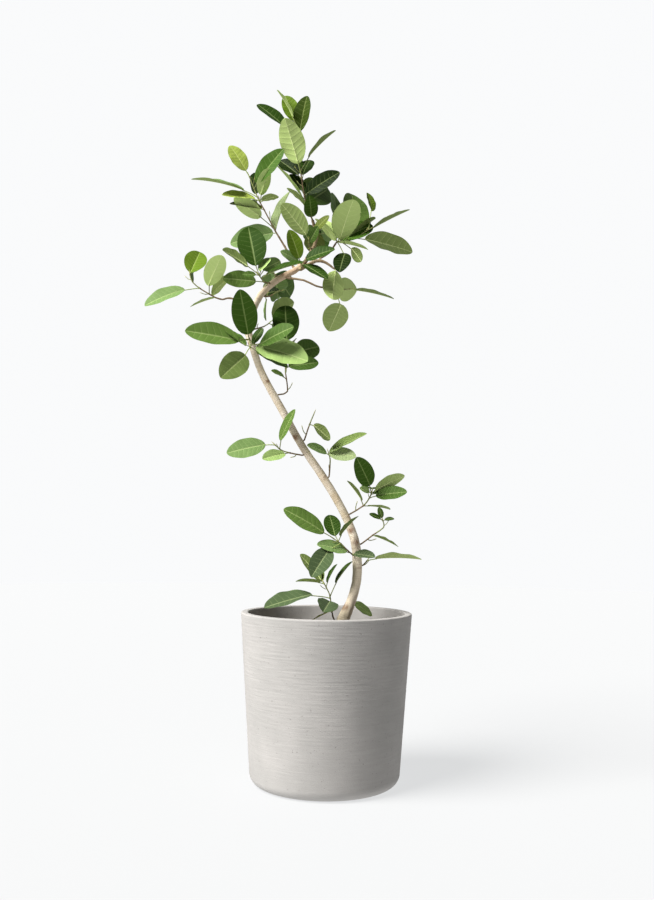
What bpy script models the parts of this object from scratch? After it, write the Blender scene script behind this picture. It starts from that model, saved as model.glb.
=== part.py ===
"""Potted banyan tree: a turned planter, soil, a winding trunk with thin boughs, and masses of oval leaves.

Sizes are metres, +Z is up, and the viewer stands at -Y. The origin is the centre of the underside.
"""

import math

import bmesh
import bpy
import numpy as np
from mathutils.bvhtree import BVHTree

# Planter and soil
PLANTER_HEIGHT = 0.360
PLANTER_TOP_RADIUS = 0.185
PLANTER_BASE_RADIUS = 0.160
PLANTER_WALL = 0.015
PLANTER_FLOOR = 0.018
PLANTER_FOOT_ROUND = 0.025
PLANTER_LIP_ROUND = 0.003
PLANTER_FOOT_SPREAD = 0.001
SOIL_TOP = 0.315

# Clear space between two solids that touch on the real plant
CLEAR = 0.0003

# Blades: the width, thickness, arch and fold are shares of the length or the half width, and each leaf
# varies from them by up to the stated share
LEAF_WIDTH = 0.54
LEAF_THICKNESS = 0.014
LEAF_ARCH = 0.02
LEAF_FOLD = 0.16
WIDTH_VARIES = 0.06
CURVE_VARIES = 0.5
OUTLINE_SKEW = 0.96
OUTLINE_FULLNESS = 0.56

# Stalks, and the stems they leave: the stalk is full from just outside the stem's axis
PETIOLE_RADIUS = 0.0011
PETIOLE_FULL_FROM = 0.001
PETIOLE_FORWARD = 0.5
STEM_RADIUS = 0.0019
STEM_TIP_RADIUS = 0.0013
ROOT_FROM_LIMB = 0.003
ROOT_FROM_TIP = 0.0015

# A limb's collar is this much thicker than its first point, and a limb or stem runs straight out of its
# parent for SQUARE_PART of its radius
COLLAR = 1.08
SQUARE_PART = 1.2
STEM_TO_LIMB = 0.92

# Leaves on the far side: petiole and lengths in mm, lean and facing in degrees
UNSEEN_PETIOLE = 20
UNSEEN_LEAN = (66, 84)
UNSEEN_LENGTH = (75, 105)
UNSEEN_FACING = (0, 40)
UNSEEN_SPREAD = 0.8
GOLDEN_TURN = 0.382
SEED = 11

# How finely the solids are faceted
TURNED_STEPS = 48
WELD = 0.00001
LIMB_STEP = 0.022
STEM_STEP = 0.03
LEAF_RINGS = 5
TRUNK_BEVEL = 3
BOUGH_BEVEL = 2
STEM_BEVEL = 0
SMOOTH_UP_TO = math.radians(50)

# Where the eye stands that the leaves' directions are read from
VIEWER_EYE = np.array([0.0, -2.0, 0.54])

# Each limb is its points (x, y, z, radius). A first entry of (name, share) says which limb it leaves,
# and how far along that limb.
LIMBS = {
    "trunk_lower": [
        None,
        (0.034, 0.000, SOIL_TOP + CLEAR, 0.0185),
        (0.034, 0.000, 0.326, 0.0160),
        (0.038, 0.002, 0.347, 0.0126),
        (0.053, 0.006, 0.380, 0.0104),
        (0.065, 0.010, 0.425, 0.0100),
        (0.066, 0.012, 0.470, 0.0104),
        (0.059, 0.010, 0.520, 0.0096),
        (0.032, 0.004, 0.582, 0.0088),
        (-0.008, -0.004, 0.648, 0.0088),
        (-0.058, -0.012, 0.720, 0.0082),
        (-0.104, -0.018, 0.800, 0.0082),
        (-0.150, -0.020, 0.882, 0.0077),
        (-0.177, -0.018, 0.958, 0.0076),
    ],
    "trunk_upper": [
        ("trunk_lower", 1.0),
        (-0.179, -0.016, 0.985, 0.0076),
        (-0.173, -0.012, 1.018, 0.0075),
        (-0.155, -0.008, 1.060, 0.0073),
        (-0.118, -0.004, 1.095, 0.0070),
        (-0.082, 0.000, 1.116, 0.0067),
        (-0.062, 0.003, 1.134, 0.0060),
    ],
    "bough_leader": [
        ("trunk_upper", 1.0),
        (-0.046, 0.006, 1.160, 0.0042),
        (-0.033, 0.008, 1.195, 0.0038),
        (-0.043, 0.008, 1.236, 0.0034),
    ],
    "bough_right": [
        ("trunk_upper", 0.93),
        (-0.034, -0.012, 1.136, 0.0038),
        (-0.012, -0.014, 1.132, 0.0030),
        (0.006, -0.014, 1.119, 0.0022),
    ],
    "bough_rising": [
        ("bough_right", 0.60),
        (-0.004, -0.012, 1.155, 0.0021),
        (0.011, -0.012, 1.178, 0.0019),
    ],
    "bough_left": [
        ("trunk_upper", 0.90),
        (-0.094, 0.012, 1.156, 0.0024),
        (-0.122, 0.008, 1.202, 0.0020),
    ],
    "bough_low": [
        ("trunk_upper", 0.78),
        (-0.060, -0.018, 1.090, 0.0022),
        (-0.032, -0.022, 1.076, 0.0020),
        (-0.012, -0.024, 1.072, 0.0018),
    ],
    "bough_far_left": [
        ("trunk_upper", 0.22),
        (-0.216, -0.020, 1.046, 0.0021),
        (-0.238, -0.022, 1.043, 0.0019),
        (-0.252, -0.023, 1.046, 0.0018),
    ],
}

# Each mass of leaves: the limb and share of it that its stem leaves, the stem's points after that, and its
# leaves. A leaf is: share of the stem where it leaves, petiole in mm, clock hour that it points to in the
# front view, degrees that it leans to the viewer, length in mm, and degrees that its upper face is turned
# from the viewer, where 90 is edge on with that face up and 180 shows the underside. Unseen is how many
# leaves the rule adds on the far side, and the clock hour of the first.
MASSES = {
    "leaves_crown_top": dict(
        limb="bough_leader", share=1.0, seed=1, unseen=(3, 7.0),
        stem=[(-0.060, 0.006, 1.280), (-0.070, 0.002, 1.338), (-0.075, 0.000, 1.373), (-0.075, 0.000, 1.437)],
        leaves=[
            (0.00, 5, 11.7, 62, 62, 5), (0.19, 18, 10.75, 5, 96, 93), (0.12, 12, 10.3, 28, 58, 110),
            (0.29, 14, 11.1, -30, 68, 40), (0.17, 15, 1.2, -46, 116, 5), (0.28, 8, 1.95, 10, 88, 38),
            (0.46, 17, 0.5, -35, 68, 30), (0.47, 16, 10.55, -30, 76, 38), (0.52, 26, 11.4, 15, 102, 170),
            (0.56, 38, 1.45, 0, 88, 100), (0.83, 60, 10.4, -10, 92, 62), (1.00, 5, 0.35, 10, 80, 35),
            (1.00, 30, 11.2, 0, 66, 10), (1.00, 40, 10.9, 6, 71, 100),
        ],
    ),
    "leaves_crown_centre": dict(
        limb="bough_leader", share=0.35, seed=2, unseen=(0, 0),
        stem=[(-0.050, -0.014, 1.172), (-0.050, -0.024, 1.182)],
        leaves=[(1.0, 12, 10.6, 15, 86, 150), (0.6, 5, 1.2, 45, 45, 20), (1.0, 20, 1.6, 20, 50, 50)],
    ),
    "leaves_crown_back": dict(
        limb="bough_leader", share=0.60, seed=3, unseen=(8, 3.5),
        stem=[(-0.030, 0.050, 1.225), (-0.030, 0.095, 1.250), (-0.038, 0.145, 1.262)],
        leaves=[],
    ),
    "leaves_fork": dict(
        limb="trunk_upper", share=0.97, seed=4, unseen=(0, 0),
        stem=[(-0.066, -0.024, 1.122), (-0.067, -0.038, 1.124)],
        leaves=[
            (0.9, 14, 4.3, 25, 72, 55), (0.9, 8, 9.8, 25, 46, 30), (1.0, 16, 2.4, 15, 68, 50),
            (1.0, 10, 11.3, 10, 66, 25),
        ],
    ),
    "leaves_right_high": dict(
        limb="bough_rising", share=1.0, seed=5, unseen=(1, 11.0),
        stem=[(0.045, -0.010, 1.186), (0.085, -0.004, 1.212)],
        leaves=[
            (0.00, 5, 10.45, 10, 66, 105), (0.00, 10, 10.9, -20, 40, 60), (0.00, 50, 6.4, 40, 74, 15),
            (0.05, 8, 0.8, 56, 116, 170), (0.06, 14, 11.75, -15, 118, 62), (0.45, 25, 11.9, -25, 120, 30),
            (0.06, 6, 1.9, -15, 90, 40), (0.00, 5, 3.6, 15, 70, 95), (0.12, 34, 5.0, 30, 50, 160),
            (0.04, 12, 10.7, -28, 66, 140), (0.50, 25, 3.62, 10, 112, 130), (0.16, 18, 1.6, -20, 90, 105),
            (1.00, 50, 11.6, -15, 50, 55), (1.00, 12, 2.12, 0, 92, 92),
        ],
    ),
    "leaves_right_hanging": dict(
        limb="bough_right", share=1.0, seed=6, unseen=(0, 0),
        stem=[(0.016, -0.016, 1.116)],
        leaves=[(0.1, 6, 6.15, 34, 94, 165)],
    ),
    "leaves_right_low": dict(
        limb="bough_low", share=1.0, seed=7, unseen=(0, 0),
        stem=[(0.020, -0.020, 1.069), (0.045, -0.016, 1.072)],
        leaves=[(0.35, 14, 2.0, -62, 100, 180), (0.40, 56, 7.1, -64, 114, 178), (1.0, 12, 3.5, 5, 88, 95)],
    ),
    "leaves_left_high": dict(
        limb="bough_left", share=1.0, seed=8, unseen=(2, 3.0),
        stem=[(-0.132, 0.006, 1.219), (-0.154, 0.000, 1.259), (-0.168, 0.000, 1.285), (-0.188, 0.000, 1.334)],
        leaves=[
            (0.00, 8, 8.65, -14, 104, 30), (0.06, 5, 0.55, -16, 108, 75), (0.08, 42, 10.1, 5, 74, 165),
            (0.42, 6, 9.45, -10, 78, 70), (0.55, 5, 2.8, 30, 46, 130), (0.58, 10, 9.1, 10, 75, 70),
            (0.64, 36, 9.45, 0, 122, 88), (0.55, 17, 0.6, 10, 62, 150), (0.78, 15, 1.3, 10, 96, 42),
            (1.00, 16, 10.9, 5, 68, 25),
        ],
    ),
    "leaves_middle_left": dict(
        limb="trunk_upper", share=0.60, seed=9, unseen=(0, 0),
        stem=[(-0.146, -0.035, 1.080), (-0.158, -0.052, 1.092)],
        leaves=[
            (1.00, 22, 11.6, -22, 116, 5), (0.95, 10, 0.9, -25, 46, 45), (0.90, 18, 1.6, -38, 60, 10),
            (0.75, 16, 2.6, 20, 90, 80), (0.40, 24, 9.0, 15, 72, 25), (1.00, 32, 10.2, -20, 78, 120),
            (0.95, 8, 8.8, 20, 30, 40),
        ],
    ),
    "leaves_middle_back": dict(
        limb="trunk_upper", share=0.66, seed=10, unseen=(7, 7.0),
        stem=[(-0.125, 0.040, 1.115), (-0.134, 0.080, 1.132), (-0.132, 0.120, 1.138)],
        leaves=[],
    ),
    "leaves_far_left": dict(
        limb="bough_far_left", share=1.0, seed=11, unseen=(1, 11.5),
        stem=[(-0.284, -0.026, 1.063), (-0.306, -0.028, 1.080), (-0.312, -0.028, 1.098)],
        leaves=[
            (0.0, 4, 8.1, 20, 58, 95), (0.16, 4, 1.1, -35, 70, 130), (0.22, 20, 1.15, 44, 86, 170),
            (0.50, 34, 8.15, 10, 95, 55), (1.0, 6, 0.35, -40, 90, 10),
        ],
    ),
    "leaves_bend_left": dict(
        limb="trunk_lower", share=0.985, seed=12, unseen=(0, 0),
        stem=[(-0.177, -0.040, 0.954), (-0.172, -0.060, 0.929)],
        leaves=[
            (0.5, 22, 11.7, 41, 106, 5), (0.45, 24, 9.25, 12, 118, 42), (1.0, 10, 10.2, -15, 68, 65),
            (1.0, 34, 7.15, 46, 106, 5), (0.9, 28, 2.2, 25, 88, 52), (0.6, 24, 3.65, 20, 126, 40),
            (1.0, 18, 3.8, -10, 75, 62), (0.9, 8, 1.1, 8, 40, 40),
        ],
    ),
    "leaves_bend_right": dict(
        limb="trunk_upper", share=0.10, seed=13, unseen=(1, 3.5),
        stem=[(-0.150, 0.010, 0.990), (-0.139, 0.032, 1.003)],
        leaves=[(1.0, 24, 1.2, -46, 108, 150)],
    ),
    "leaves_under_trunk": dict(
        limb="trunk_upper", share=0.48, seed=14, unseen=(0, 0),
        stem=[(-0.138, 0.012, 1.060), (-0.122, 0.020, 1.072), (-0.112, 0.028, 1.078)],
        leaves=[(1.0, 6, 8.8, -20, 55, 50), (0.15, 6, 6.0, 10, 52, 80)],
    ),
    "leaves_trunk_side": dict(
        limb="trunk_lower", share=0.80, seed=15, unseen=(1, 0.5),
        stem=[(-0.092, -0.006, 0.842), (-0.098, -0.004, 0.885), (-0.096, -0.010, 0.938)],
        leaves=[
            (0.44, 8, 9.8, 20, 32, 60), (0.64, 8, 2.6, -20, 72, 30), (0.78, 30, 2.1, -45, 90, 10),
            (1.0, 22, 11.85, -32, 114, 5),
        ],
    ),
    "leaves_mid_left": dict(
        limb="trunk_lower", share=0.600, seed=16, unseen=(0, 0),
        stem=[(-0.085, -0.024, 0.704), (-0.104, -0.026, 0.710), (-0.117, -0.028, 0.721)],
        leaves=[(1.0, 22, 8.5, 10, 86, 28), (0.45, 13, 8.4, 38, 60, 40), (0.80, 19, 0.9, 15, 76, 60)],
    ),
    "leaves_mid_right": dict(
        limb="trunk_lower", share=0.637, seed=17, unseen=(0, 0),
        stem=[(-0.043, -0.010, 0.767), (-0.033, -0.008, 0.793)],
        leaves=[(0.6, 10, 4.4, 25, 56, 140)],
    ),
    "leaves_mid_low": dict(
        limb="trunk_lower", share=0.50, seed=18, unseen=(0, 0),
        stem=[(0.004, -0.012, 0.690), (0.000, -0.014, 0.706)],
        leaves=[(1.0, 2, 2.1, 5, 92, 70), (1.0, 2, 3.3, 25, 64, 30), (0.9, 8, 9.6, 25, 50, 50)],
    ),
    "leaves_low_right": dict(
        limb="trunk_lower", share=0.37, seed=19, unseen=(1, 0.5),
        stem=[(0.079, 0.008, 0.592), (0.092, 0.006, 0.610), (0.096, 0.005, 0.620)],
        leaves=[
            (0.50, 12, 3.2, -22, 55, 95), (0.52, 12, 10.7, 5, 55, 100), (0.98, 8, 9.5, 40, 30, 30),
            (0.82, 16, 2.8, 15, 70, 42), (0.95, 5, 2.8, -15, 74, 62), (1.0, 11, 2.05, -10, 75, 130),
            (1.0, 20, 11.05, 38, 82, 10),
        ],
    ),
    "leaves_low_outer": dict(
        limb="trunk_lower", share=0.275, seed=20, unseen=(0, 0),
        stem=[(0.102, 0.010, 0.529), (0.124, 0.010, 0.545), (0.121, 0.008, 0.561)],
        leaves=[
            (1.0, 6, 11.4, 10, 25, 20), (1.0, 5, 2.9, 20, 22, 40), (1.0, 6, 9.8, 10, 28, 50),
            (0.42, 4, 3.75, 10, 58, 95),
        ],
    ),
    "leaves_low_long": dict(
        limb="trunk_lower", share=0.212, seed=21, unseen=(0, 0),
        stem=[(0.088, 0.012, 0.472)],
        leaves=[(1.0, 19, 2.95, 5, 102, 98)],
    ),
    "leaves_low_left": dict(
        limb="trunk_lower", share=0.245, seed=22, unseen=(0, 0),
        stem=[(0.046, -0.014, 0.492), (0.030, -0.022, 0.508), (0.012, -0.024, 0.520)],
        leaves=[
            (1.0, 24, 10.0, 10, 102, 45), (0.8, 16, 11.5, -42, 66, 10), (0.36, 3, 9.35, 28, 74, 50),
            (0.8, 14, 1.4, 15, 60, 100), (0.12, 6, 3.2, 30, 52, 50), (0.7, 33, 7.1, 38, 86, 8),
        ],
    ),
    "leaves_foot_shoot": dict(
        limb="trunk_lower", share=0.03, seed=23, unseen=(0, 0),
        stem=[
            (0.014, -0.004, 0.350), (0.010, -0.006, 0.375), (0.006, -0.008, 0.399), (-0.006, -0.010, 0.422),
        ],
        leaves=[
            (0.60, 42, 8.5, 15, 108, 60), (1.0, 12, 10.6, -25, 78, 130), (1.0, 8, 11.0, -35, 56, 140),
            (1.0, 10, 9.1, 15, 55, 100), (0.9, 10, 0.9, -10, 46, 75), (0.64, 32, 1.2, -5, 60, 78),
            (0.50, 12, 7.4, 77, 88, 10), (0.3, 4, 8.1, 25, 55, 90),
        ],
    ),
    "leaves_foot_right": dict(
        limb="trunk_lower", share=0.10, seed=24, unseen=(0, 0),
        stem=[(0.057, 0.034, 0.380)],
        leaves=[(1.0, 6, 4.15, -15, 52, 48)],
    ),
}


def unit(vector):
    return vector / np.linalg.norm(vector)


def smooth_path(points, step):
    """A Catmull-Rom curve through the points, with a new point about every step."""
    points = np.array(points, float)
    padded = np.vstack([2 * points[0] - points[1], points, 2 * points[-1] - points[-2]])
    pieces = []
    for a, b, c, d in zip(padded, padded[1:], padded[2:], padded[3:]):
        count = max(2, round(np.linalg.norm((c - b)[:3]) / step))
        t = np.arange(count)[:, None] / count
        curve = 2 * b + (c - a) * t + (2 * a - 5 * b + 4 * c - d) * t**2 + (3 * b - a - 3 * c + d) * t**3
        pieces.append(curve / 2)
    return np.vstack(pieces + [points[-1:]])


def place_on(path, share):
    """The point, radius and direction at a share of a path's length. Its rows are x, y, z, radius."""
    lengths = np.linalg.norm(np.diff(path[:, :3], axis=0), axis=1)
    reached = np.concatenate([[0], np.cumsum(lengths)])
    here = share * reached[-1]
    row = [np.interp(here, reached, path[:, k]) for k in range(4)]
    index = min(np.searchsorted(reached, here, side="right"), len(lengths)) - 1
    return np.array(row[:3]), row[3], unit(path[index + 1, :3] - path[index, :3])


def rooted_path(parent, share, points, radius, step):
    """A path that leaves its parent squarely, just clear of its side or tip, and runs on through points."""
    centre, parent_radius, direction = place_on(parent, share)
    if share == 1.0:
        out = direction
        start = centre + out * CLEAR
    else:
        away = np.array(points[0][:3]) - centre
        out = unit(away - direction * (away @ direction))
        start = centre + out * (parent_radius + CLEAR)
    first = np.array([(*start, radius)])
    return np.vstack([first, smooth_path([(*(start + out * SQUARE_PART * radius), radius), *points], step)])


def limb_paths():
    paths = {}
    for name, (root, *points) in LIMBS.items():
        if root is None:
            paths[name] = np.vstack([points[:1], smooth_path(points[1:], LIMB_STEP)])
        else:
            paths[name] = rooted_path(paths[root[0]], root[1], points, points[0][3] * COLLAR, LIMB_STEP)
    return paths


def stem_path(mass, limbs):
    """A mass's stem, tapering to its tip."""
    parent = limbs[mass["limb"]]
    parent_radius = place_on(parent, mass["share"])[1]
    first = min(STEM_RADIUS, STEM_TO_LIMB * parent_radius)
    radii = np.linspace(first, STEM_TIP_RADIUS, len(mass["stem"]) + 1)[1:]
    points = [(*place, radius) for place, radius in zip(mass["stem"], radii)]
    return rooted_path(parent, mass["share"], points, first, STEM_STEP)


def unseen_leaves(mass):
    """Leaves on the far side, by a seeded rule: they lean away, each turned on by the golden angle."""
    rng = np.random.default_rng([SEED, mass["seed"]])
    count, first_hour = mass["unseen"]
    rows = []
    for k in range(count):
        share = 1.0 - UNSEEN_SPREAD * k / count
        hour = (first_hour + k * 12 * GOLDEN_TURN) % 12
        lean = -rng.uniform(*UNSEEN_LEAN)
        length = rng.uniform(*UNSEEN_LENGTH)
        rows.append((share, UNSEEN_PETIOLE, hour, lean, length, rng.uniform(*UNSEEN_FACING)))
    return rows


def leaf_width(t):
    """Half the blade's width at share t of its length, where the widest place is 1."""
    return np.sin(math.pi * np.clip(t, 0, 1) ** OUTLINE_SKEW) ** OUTLINE_FULLNESS


def leaf_surface(leaf, t, across):
    """Points of a blade: t runs from base to tip, across from -1 to 1. It arches along and folds across."""
    t = np.asarray(t, float)[..., None]
    across = np.asarray(across, float)[..., None]
    side = np.cross(leaf["along"], leaf["normal"])
    half = leaf["width"] / 2 * leaf_width(t)
    rise = leaf["arch"] * leaf["length"] * 4 * t * (1 - t) + leaf["fold"] * half * np.abs(across)
    return leaf["base"] + leaf["along"] * leaf["length"] * t + side * half * across + leaf["normal"] * rise


def grow_leaves(mass, stem):
    """Every leaf of a mass: where it leaves the stem, its base, its axes and its sizes in metres."""
    grown = []
    for number, row in enumerate(mass["leaves"] + unseen_leaves(mass)):
        share, petiole, hour, lean, length, facing = row
        vary = np.random.default_rng([SEED, mass["seed"], number]).uniform(-1, 1, 3)
        turn, lean, facing = math.radians(30 * hour), math.radians(lean), math.radians(facing)
        along = np.array([math.sin(turn) * math.cos(lean), -math.sin(lean), math.cos(turn) * math.cos(lean)])
        stem_length = np.linalg.norm(np.diff(stem[:, :3], axis=0), axis=1).sum()
        share = min(max(share, ROOT_FROM_LIMB / stem_length), 1 - ROOT_FROM_TIP / stem_length)
        root, _, direction = place_on(stem, share)
        sight = unit(VIEWER_EYE - root)
        front = unit(sight - along * (sight @ along))
        upward = np.cross(front, along)
        upward = upward if upward[2] >= 0 else -upward
        length = length / 1000
        grown.append(dict(
            root=root,
            base=root + unit(along + PETIOLE_FORWARD * direction) * petiole / 1000,
            along=along,
            normal=math.cos(facing) * front + math.sin(facing) * upward,
            length=length,
            width=length * LEAF_WIDTH * (1 + WIDTH_VARIES * vary[0]),
            arch=LEAF_ARCH * (1 + CURVE_VARIES * vary[1]),
            fold=LEAF_FOLD * (1 + CURVE_VARIES * vary[2]),
            facing=facing,
            number=number,
        ))
    return grown


def clear_scene():
    for old in list(bpy.data.objects):
        bpy.data.objects.remove(old, do_unlink=True)


def new_collection(name):
    collection = bpy.data.collections.new(name)
    bpy.context.scene.collection.children.link(collection)
    return collection


def material(name, colour, roughness):
    made = bpy.data.materials.new(name)
    made.use_nodes = True
    shader = made.node_tree.nodes["Principled BSDF"]
    shader.inputs["Base Color"].default_value = (*colour, 1.0)
    shader.inputs["Roughness"].default_value = roughness
    shader.inputs["Metallic"].default_value = 0.0
    return made


def add_object(name, mesh, collection, finish):
    """A smooth-shaded object of this mesh, with sharp edges kept where faces meet steeply."""
    made = bpy.data.objects.new(name, mesh)
    collection.objects.link(made)
    mesh.materials.clear()
    mesh.materials.append(finish)
    mesh.shade_smooth()
    mesh.set_sharp_from_angle(angle=SMOOTH_UP_TO)
    return made


def arc(centre_x, centre_z, radius, first_degrees, last_degrees, steps):
    """Points of an arc in the XZ plane, both ends included."""
    angles = np.radians(np.linspace(first_degrees, last_degrees, steps + 1))
    return [(centre_x + radius * math.cos(a), centre_z + radius * math.sin(a)) for a in angles]


def inner_radius(z):
    """The planter's inside radius at height z."""
    slope = (PLANTER_TOP_RADIUS - PLANTER_BASE_RADIUS) / PLANTER_HEIGHT
    return PLANTER_BASE_RADIUS + slope * z - PLANTER_WALL


def turned_object(name, profile, collection, finish):
    """A profile of (radius, height) points, from the axis round to the axis, turned about Z by a Screw."""
    mesh = bpy.data.meshes.new(name)
    points = [(radius, 0.0, height) for radius, height in profile]
    mesh.from_pydata(points, [(k, k + 1) for k in range(len(points) - 1)], [])
    made = bpy.data.objects.new(name, mesh)
    collection.objects.link(made)
    mesh.materials.append(finish)
    turn = made.modifiers.new("Turn", "SCREW")
    turn.axis = "Z"
    turn.steps = TURNED_STEPS
    turn.render_steps = TURNED_STEPS
    turn.use_merge_vertices = True
    turn.merge_threshold = WELD
    turn.use_smooth_shade = True
    return made


def add_planter(collection):
    """A straight-sided pot that widens to its rim, with a rounded foot and a softened lip."""
    lip = PLANTER_LIP_ROUND
    foot = PLANTER_FOOT_ROUND
    lip_z = PLANTER_HEIGHT - lip
    profile = [(0.0, PLANTER_FLOOR), (inner_radius(PLANTER_FLOOR), PLANTER_FLOOR)]
    profile += arc(inner_radius(lip_z) + lip, lip_z, lip, 180, 90, 2)
    profile += arc(PLANTER_TOP_RADIUS - lip, lip_z, lip, 90, 0, 2)
    profile += arc(PLANTER_BASE_RADIUS + PLANTER_FOOT_SPREAD - foot, foot, foot, 0, -90, 5)
    profile += [(0.0, 0.0)]
    finish = material("planter_concrete", (0.60, 0.57, 0.53), 0.88)
    return turned_object("planter", profile, collection, finish)


def add_soil(collection):
    """The potting mix that fills the planter, clear of its wall and floor."""
    bottom = PLANTER_FLOOR + CLEAR
    profile = [
        (0.0, SOIL_TOP),
        (inner_radius(SOIL_TOP) - 2 * CLEAR, SOIL_TOP),
        (inner_radius(bottom) - 2 * CLEAR, bottom),
        (0.0, bottom),
    ]
    return turned_object("soil", profile, collection, material("potting_mix", (0.06, 0.04, 0.03), 0.95))


def tube_mesh(name, path, bevel_resolution):
    """A closed tube along a path of (x, y, z, radius), made by a bevelled curve and turned into a mesh."""
    curve = bpy.data.curves.new(name, "CURVE")
    curve.dimensions = "3D"
    curve.bevel_depth = 1.0
    curve.bevel_resolution = bevel_resolution
    curve.use_fill_caps = True
    spline = curve.splines.new("POLY")
    spline.points.add(len(path) - 1)
    for point, row in zip(spline.points, path):
        point.co = (*row[:3], 1.0)
        point.radius = row[3]
    guide = bpy.data.objects.new(name + "_guide", curve)
    bpy.context.scene.collection.objects.link(guide)
    graph = bpy.context.evaluated_depsgraph_get()
    mesh = bpy.data.meshes.new_from_object(guide.evaluated_get(graph))
    bpy.data.objects.remove(guide, do_unlink=True)
    bpy.data.curves.remove(curve)
    shape = bmesh.new()
    shape.from_mesh(mesh)
    bmesh.ops.remove_doubles(shape, verts=shape.verts, dist=WELD)
    bmesh.ops.recalc_face_normals(shape, faces=shape.faces)
    shape.to_mesh(mesh)
    shape.free()
    mesh.name = name
    return mesh


def leaf_mesh(leaf):
    """A sphere of four meridians whose rings become, from its lower pole, the stalk and then the blade."""
    shape = bmesh.new()
    last_ring = LEAF_RINGS + 2
    bmesh.ops.create_uvsphere(shape, u_segments=4, v_segments=last_ring, radius=1.0)
    side = np.cross(leaf["along"], leaf["normal"])
    stalk = leaf["base"] - leaf["root"]
    for vertex in shape.verts:
        x, y, z = vertex.co
        ring = round(math.acos(max(-1.0, min(1.0, z))) / math.pi * last_ring)
        size = math.hypot(x, y)
        across, up = (-x / size, y / size) if 0 < ring < last_ring else (0.0, 0.0)
        if ring >= LEAF_RINGS:
            reach = (1.0, PETIOLE_FULL_FROM / np.linalg.norm(stalk), 0.0)[ring - LEAF_RINGS]
            place = leaf["root"] + reach * stalk + PETIOLE_RADIUS * (side * across + leaf["normal"] * up)
        else:
            share = (1 + math.cos(math.pi * ring / LEAF_RINGS)) / 2
            half_thickness = leaf["normal"] * LEAF_THICKNESS / 2 * leaf["length"]
            place = leaf_surface(leaf, share, across) + up * half_thickness
        vertex.co = place
    mesh = bpy.data.meshes.new("leaf")
    shape.to_mesh(mesh)
    shape.free()
    return mesh


def tree_of(mesh):
    """A search tree of a mesh's faces, for finding what touches it."""
    return BVHTree.FromPolygons([v.co for v in mesh.vertices], [p.vertices[:] for p in mesh.polygons])


def keep_outer_shell(mesh):
    """Fills the hollows that crossing leaves seal off and drops loose scraps: the widest shell stays."""
    shape = bmesh.new()
    shape.from_mesh(mesh)
    left = set(shape.faces)
    shells = []
    while left:
        edge = [left.pop()]
        shell = set(edge)
        while edge:
            beside = {face for border in edge.pop().edges for face in border.link_faces} & left
            left -= beside
            shell |= beside
            edge += beside
        shells.append(shell)
    shells.sort(key=len)
    bmesh.ops.delete(shape, geom=[face for shell in shells[:-1] for face in shell], context="FACES")
    shape.to_mesh(mesh)
    shape.free()


def join_pieces(stem, pieces):
    """Fuses the pieces to the stem with one Boolean union, and removes them."""
    cutters = new_collection(stem.name + "_pieces")
    cutters.hide_render = True
    for number, mesh in enumerate(pieces):
        piece = bpy.data.objects.new(f"{stem.name}_piece_{number}", mesh)
        piece.display_type = "WIRE"
        piece.hide_render = True
        cutters.objects.link(piece)
    union = stem.modifiers.new("Join", "BOOLEAN")
    union.operation = "UNION"
    union.operand_type = "COLLECTION"
    union.collection = cutters
    union.solver = "MANIFOLD"
    graph = bpy.context.evaluated_depsgraph_get()
    joined = bpy.data.meshes.new_from_object(stem.evaluated_get(graph))
    stem.modifiers.remove(union)
    keep_outer_shell(joined)
    stem.data = joined
    for piece in list(cutters.objects):
        bpy.data.objects.remove(piece, do_unlink=True)
    bpy.data.collections.remove(cutters)


def add_limbs(collection, paths):
    """The trunk in two lengths and its boughs, each one tapering solid."""
    bark = material("bark", (0.52, 0.42, 0.31), 0.8)
    meshes = {}
    for name, path in paths.items():
        resolution = TRUNK_BEVEL if name.startswith("trunk") else BOUGH_BEVEL
        meshes[name] = tube_mesh(name, path, resolution)
        add_object(name, meshes[name], collection, bark)
    return meshes


def kept_leaves(stems, stem_meshes, limb_meshes):
    """Each mass's leaf meshes: the listed leaves first, then the unseen ones. A leaf that would touch a limb
    or enter another mass's space is skipped.
    """
    limb_trees = [tree_of(mesh) for mesh in limb_meshes.values()]
    space = {name: [tree_of(mesh)] for name, mesh in stem_meshes.items()}
    kept = {name: [] for name in MASSES}
    grown = [(name, leaf) for name, mass in MASSES.items() for leaf in grow_leaves(mass, stems[name])]
    grown.sort(key=lambda entry: entry[1]["number"] >= len(MASSES[entry[0]]["leaves"]))
    for name, leaf in grown:
        mesh = leaf_mesh(leaf)
        tree = tree_of(mesh)
        taken = [other for mass, trees in space.items() if mass != name for other in trees]
        if not any(tree.overlap(other) for other in limb_trees + taken):
            kept[name].append(mesh)
            space[name].append(tree)
    return kept


def add_masses(collection, paths, limb_meshes):
    """Each mass of leaves: its stem with every leaf fused on."""
    greens = [
        material("leaf_dark", (0.06, 0.16, 0.04), 0.4),
        material("leaf_mid", (0.10, 0.24, 0.06), 0.4),
        material("leaf_light", (0.20, 0.34, 0.12), 0.45),
    ]
    stems = {name: stem_path(mass, paths) for name, mass in MASSES.items()}
    stem_meshes = {name: tube_mesh(name, stem, STEM_BEVEL) for name, stem in stems.items()}
    for name, pieces in kept_leaves(stems, stem_meshes, limb_meshes).items():
        finish = greens[MASSES[name]["seed"] % len(greens)]
        join_pieces(add_object(name, stem_meshes[name], collection, finish), pieces)


clear_scene()
banyan = new_collection("potted_banyan_tree")
add_planter(banyan)
add_soil(banyan)
limbs = limb_paths()
add_masses(banyan, limbs, add_limbs(banyan, limbs))
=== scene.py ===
"""The looks of a potted banyan tree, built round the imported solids. Metres, +Z up, the viewer at -Y."""

import math

import bpy
import numpy as np
from mathutils import Matrix


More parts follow.
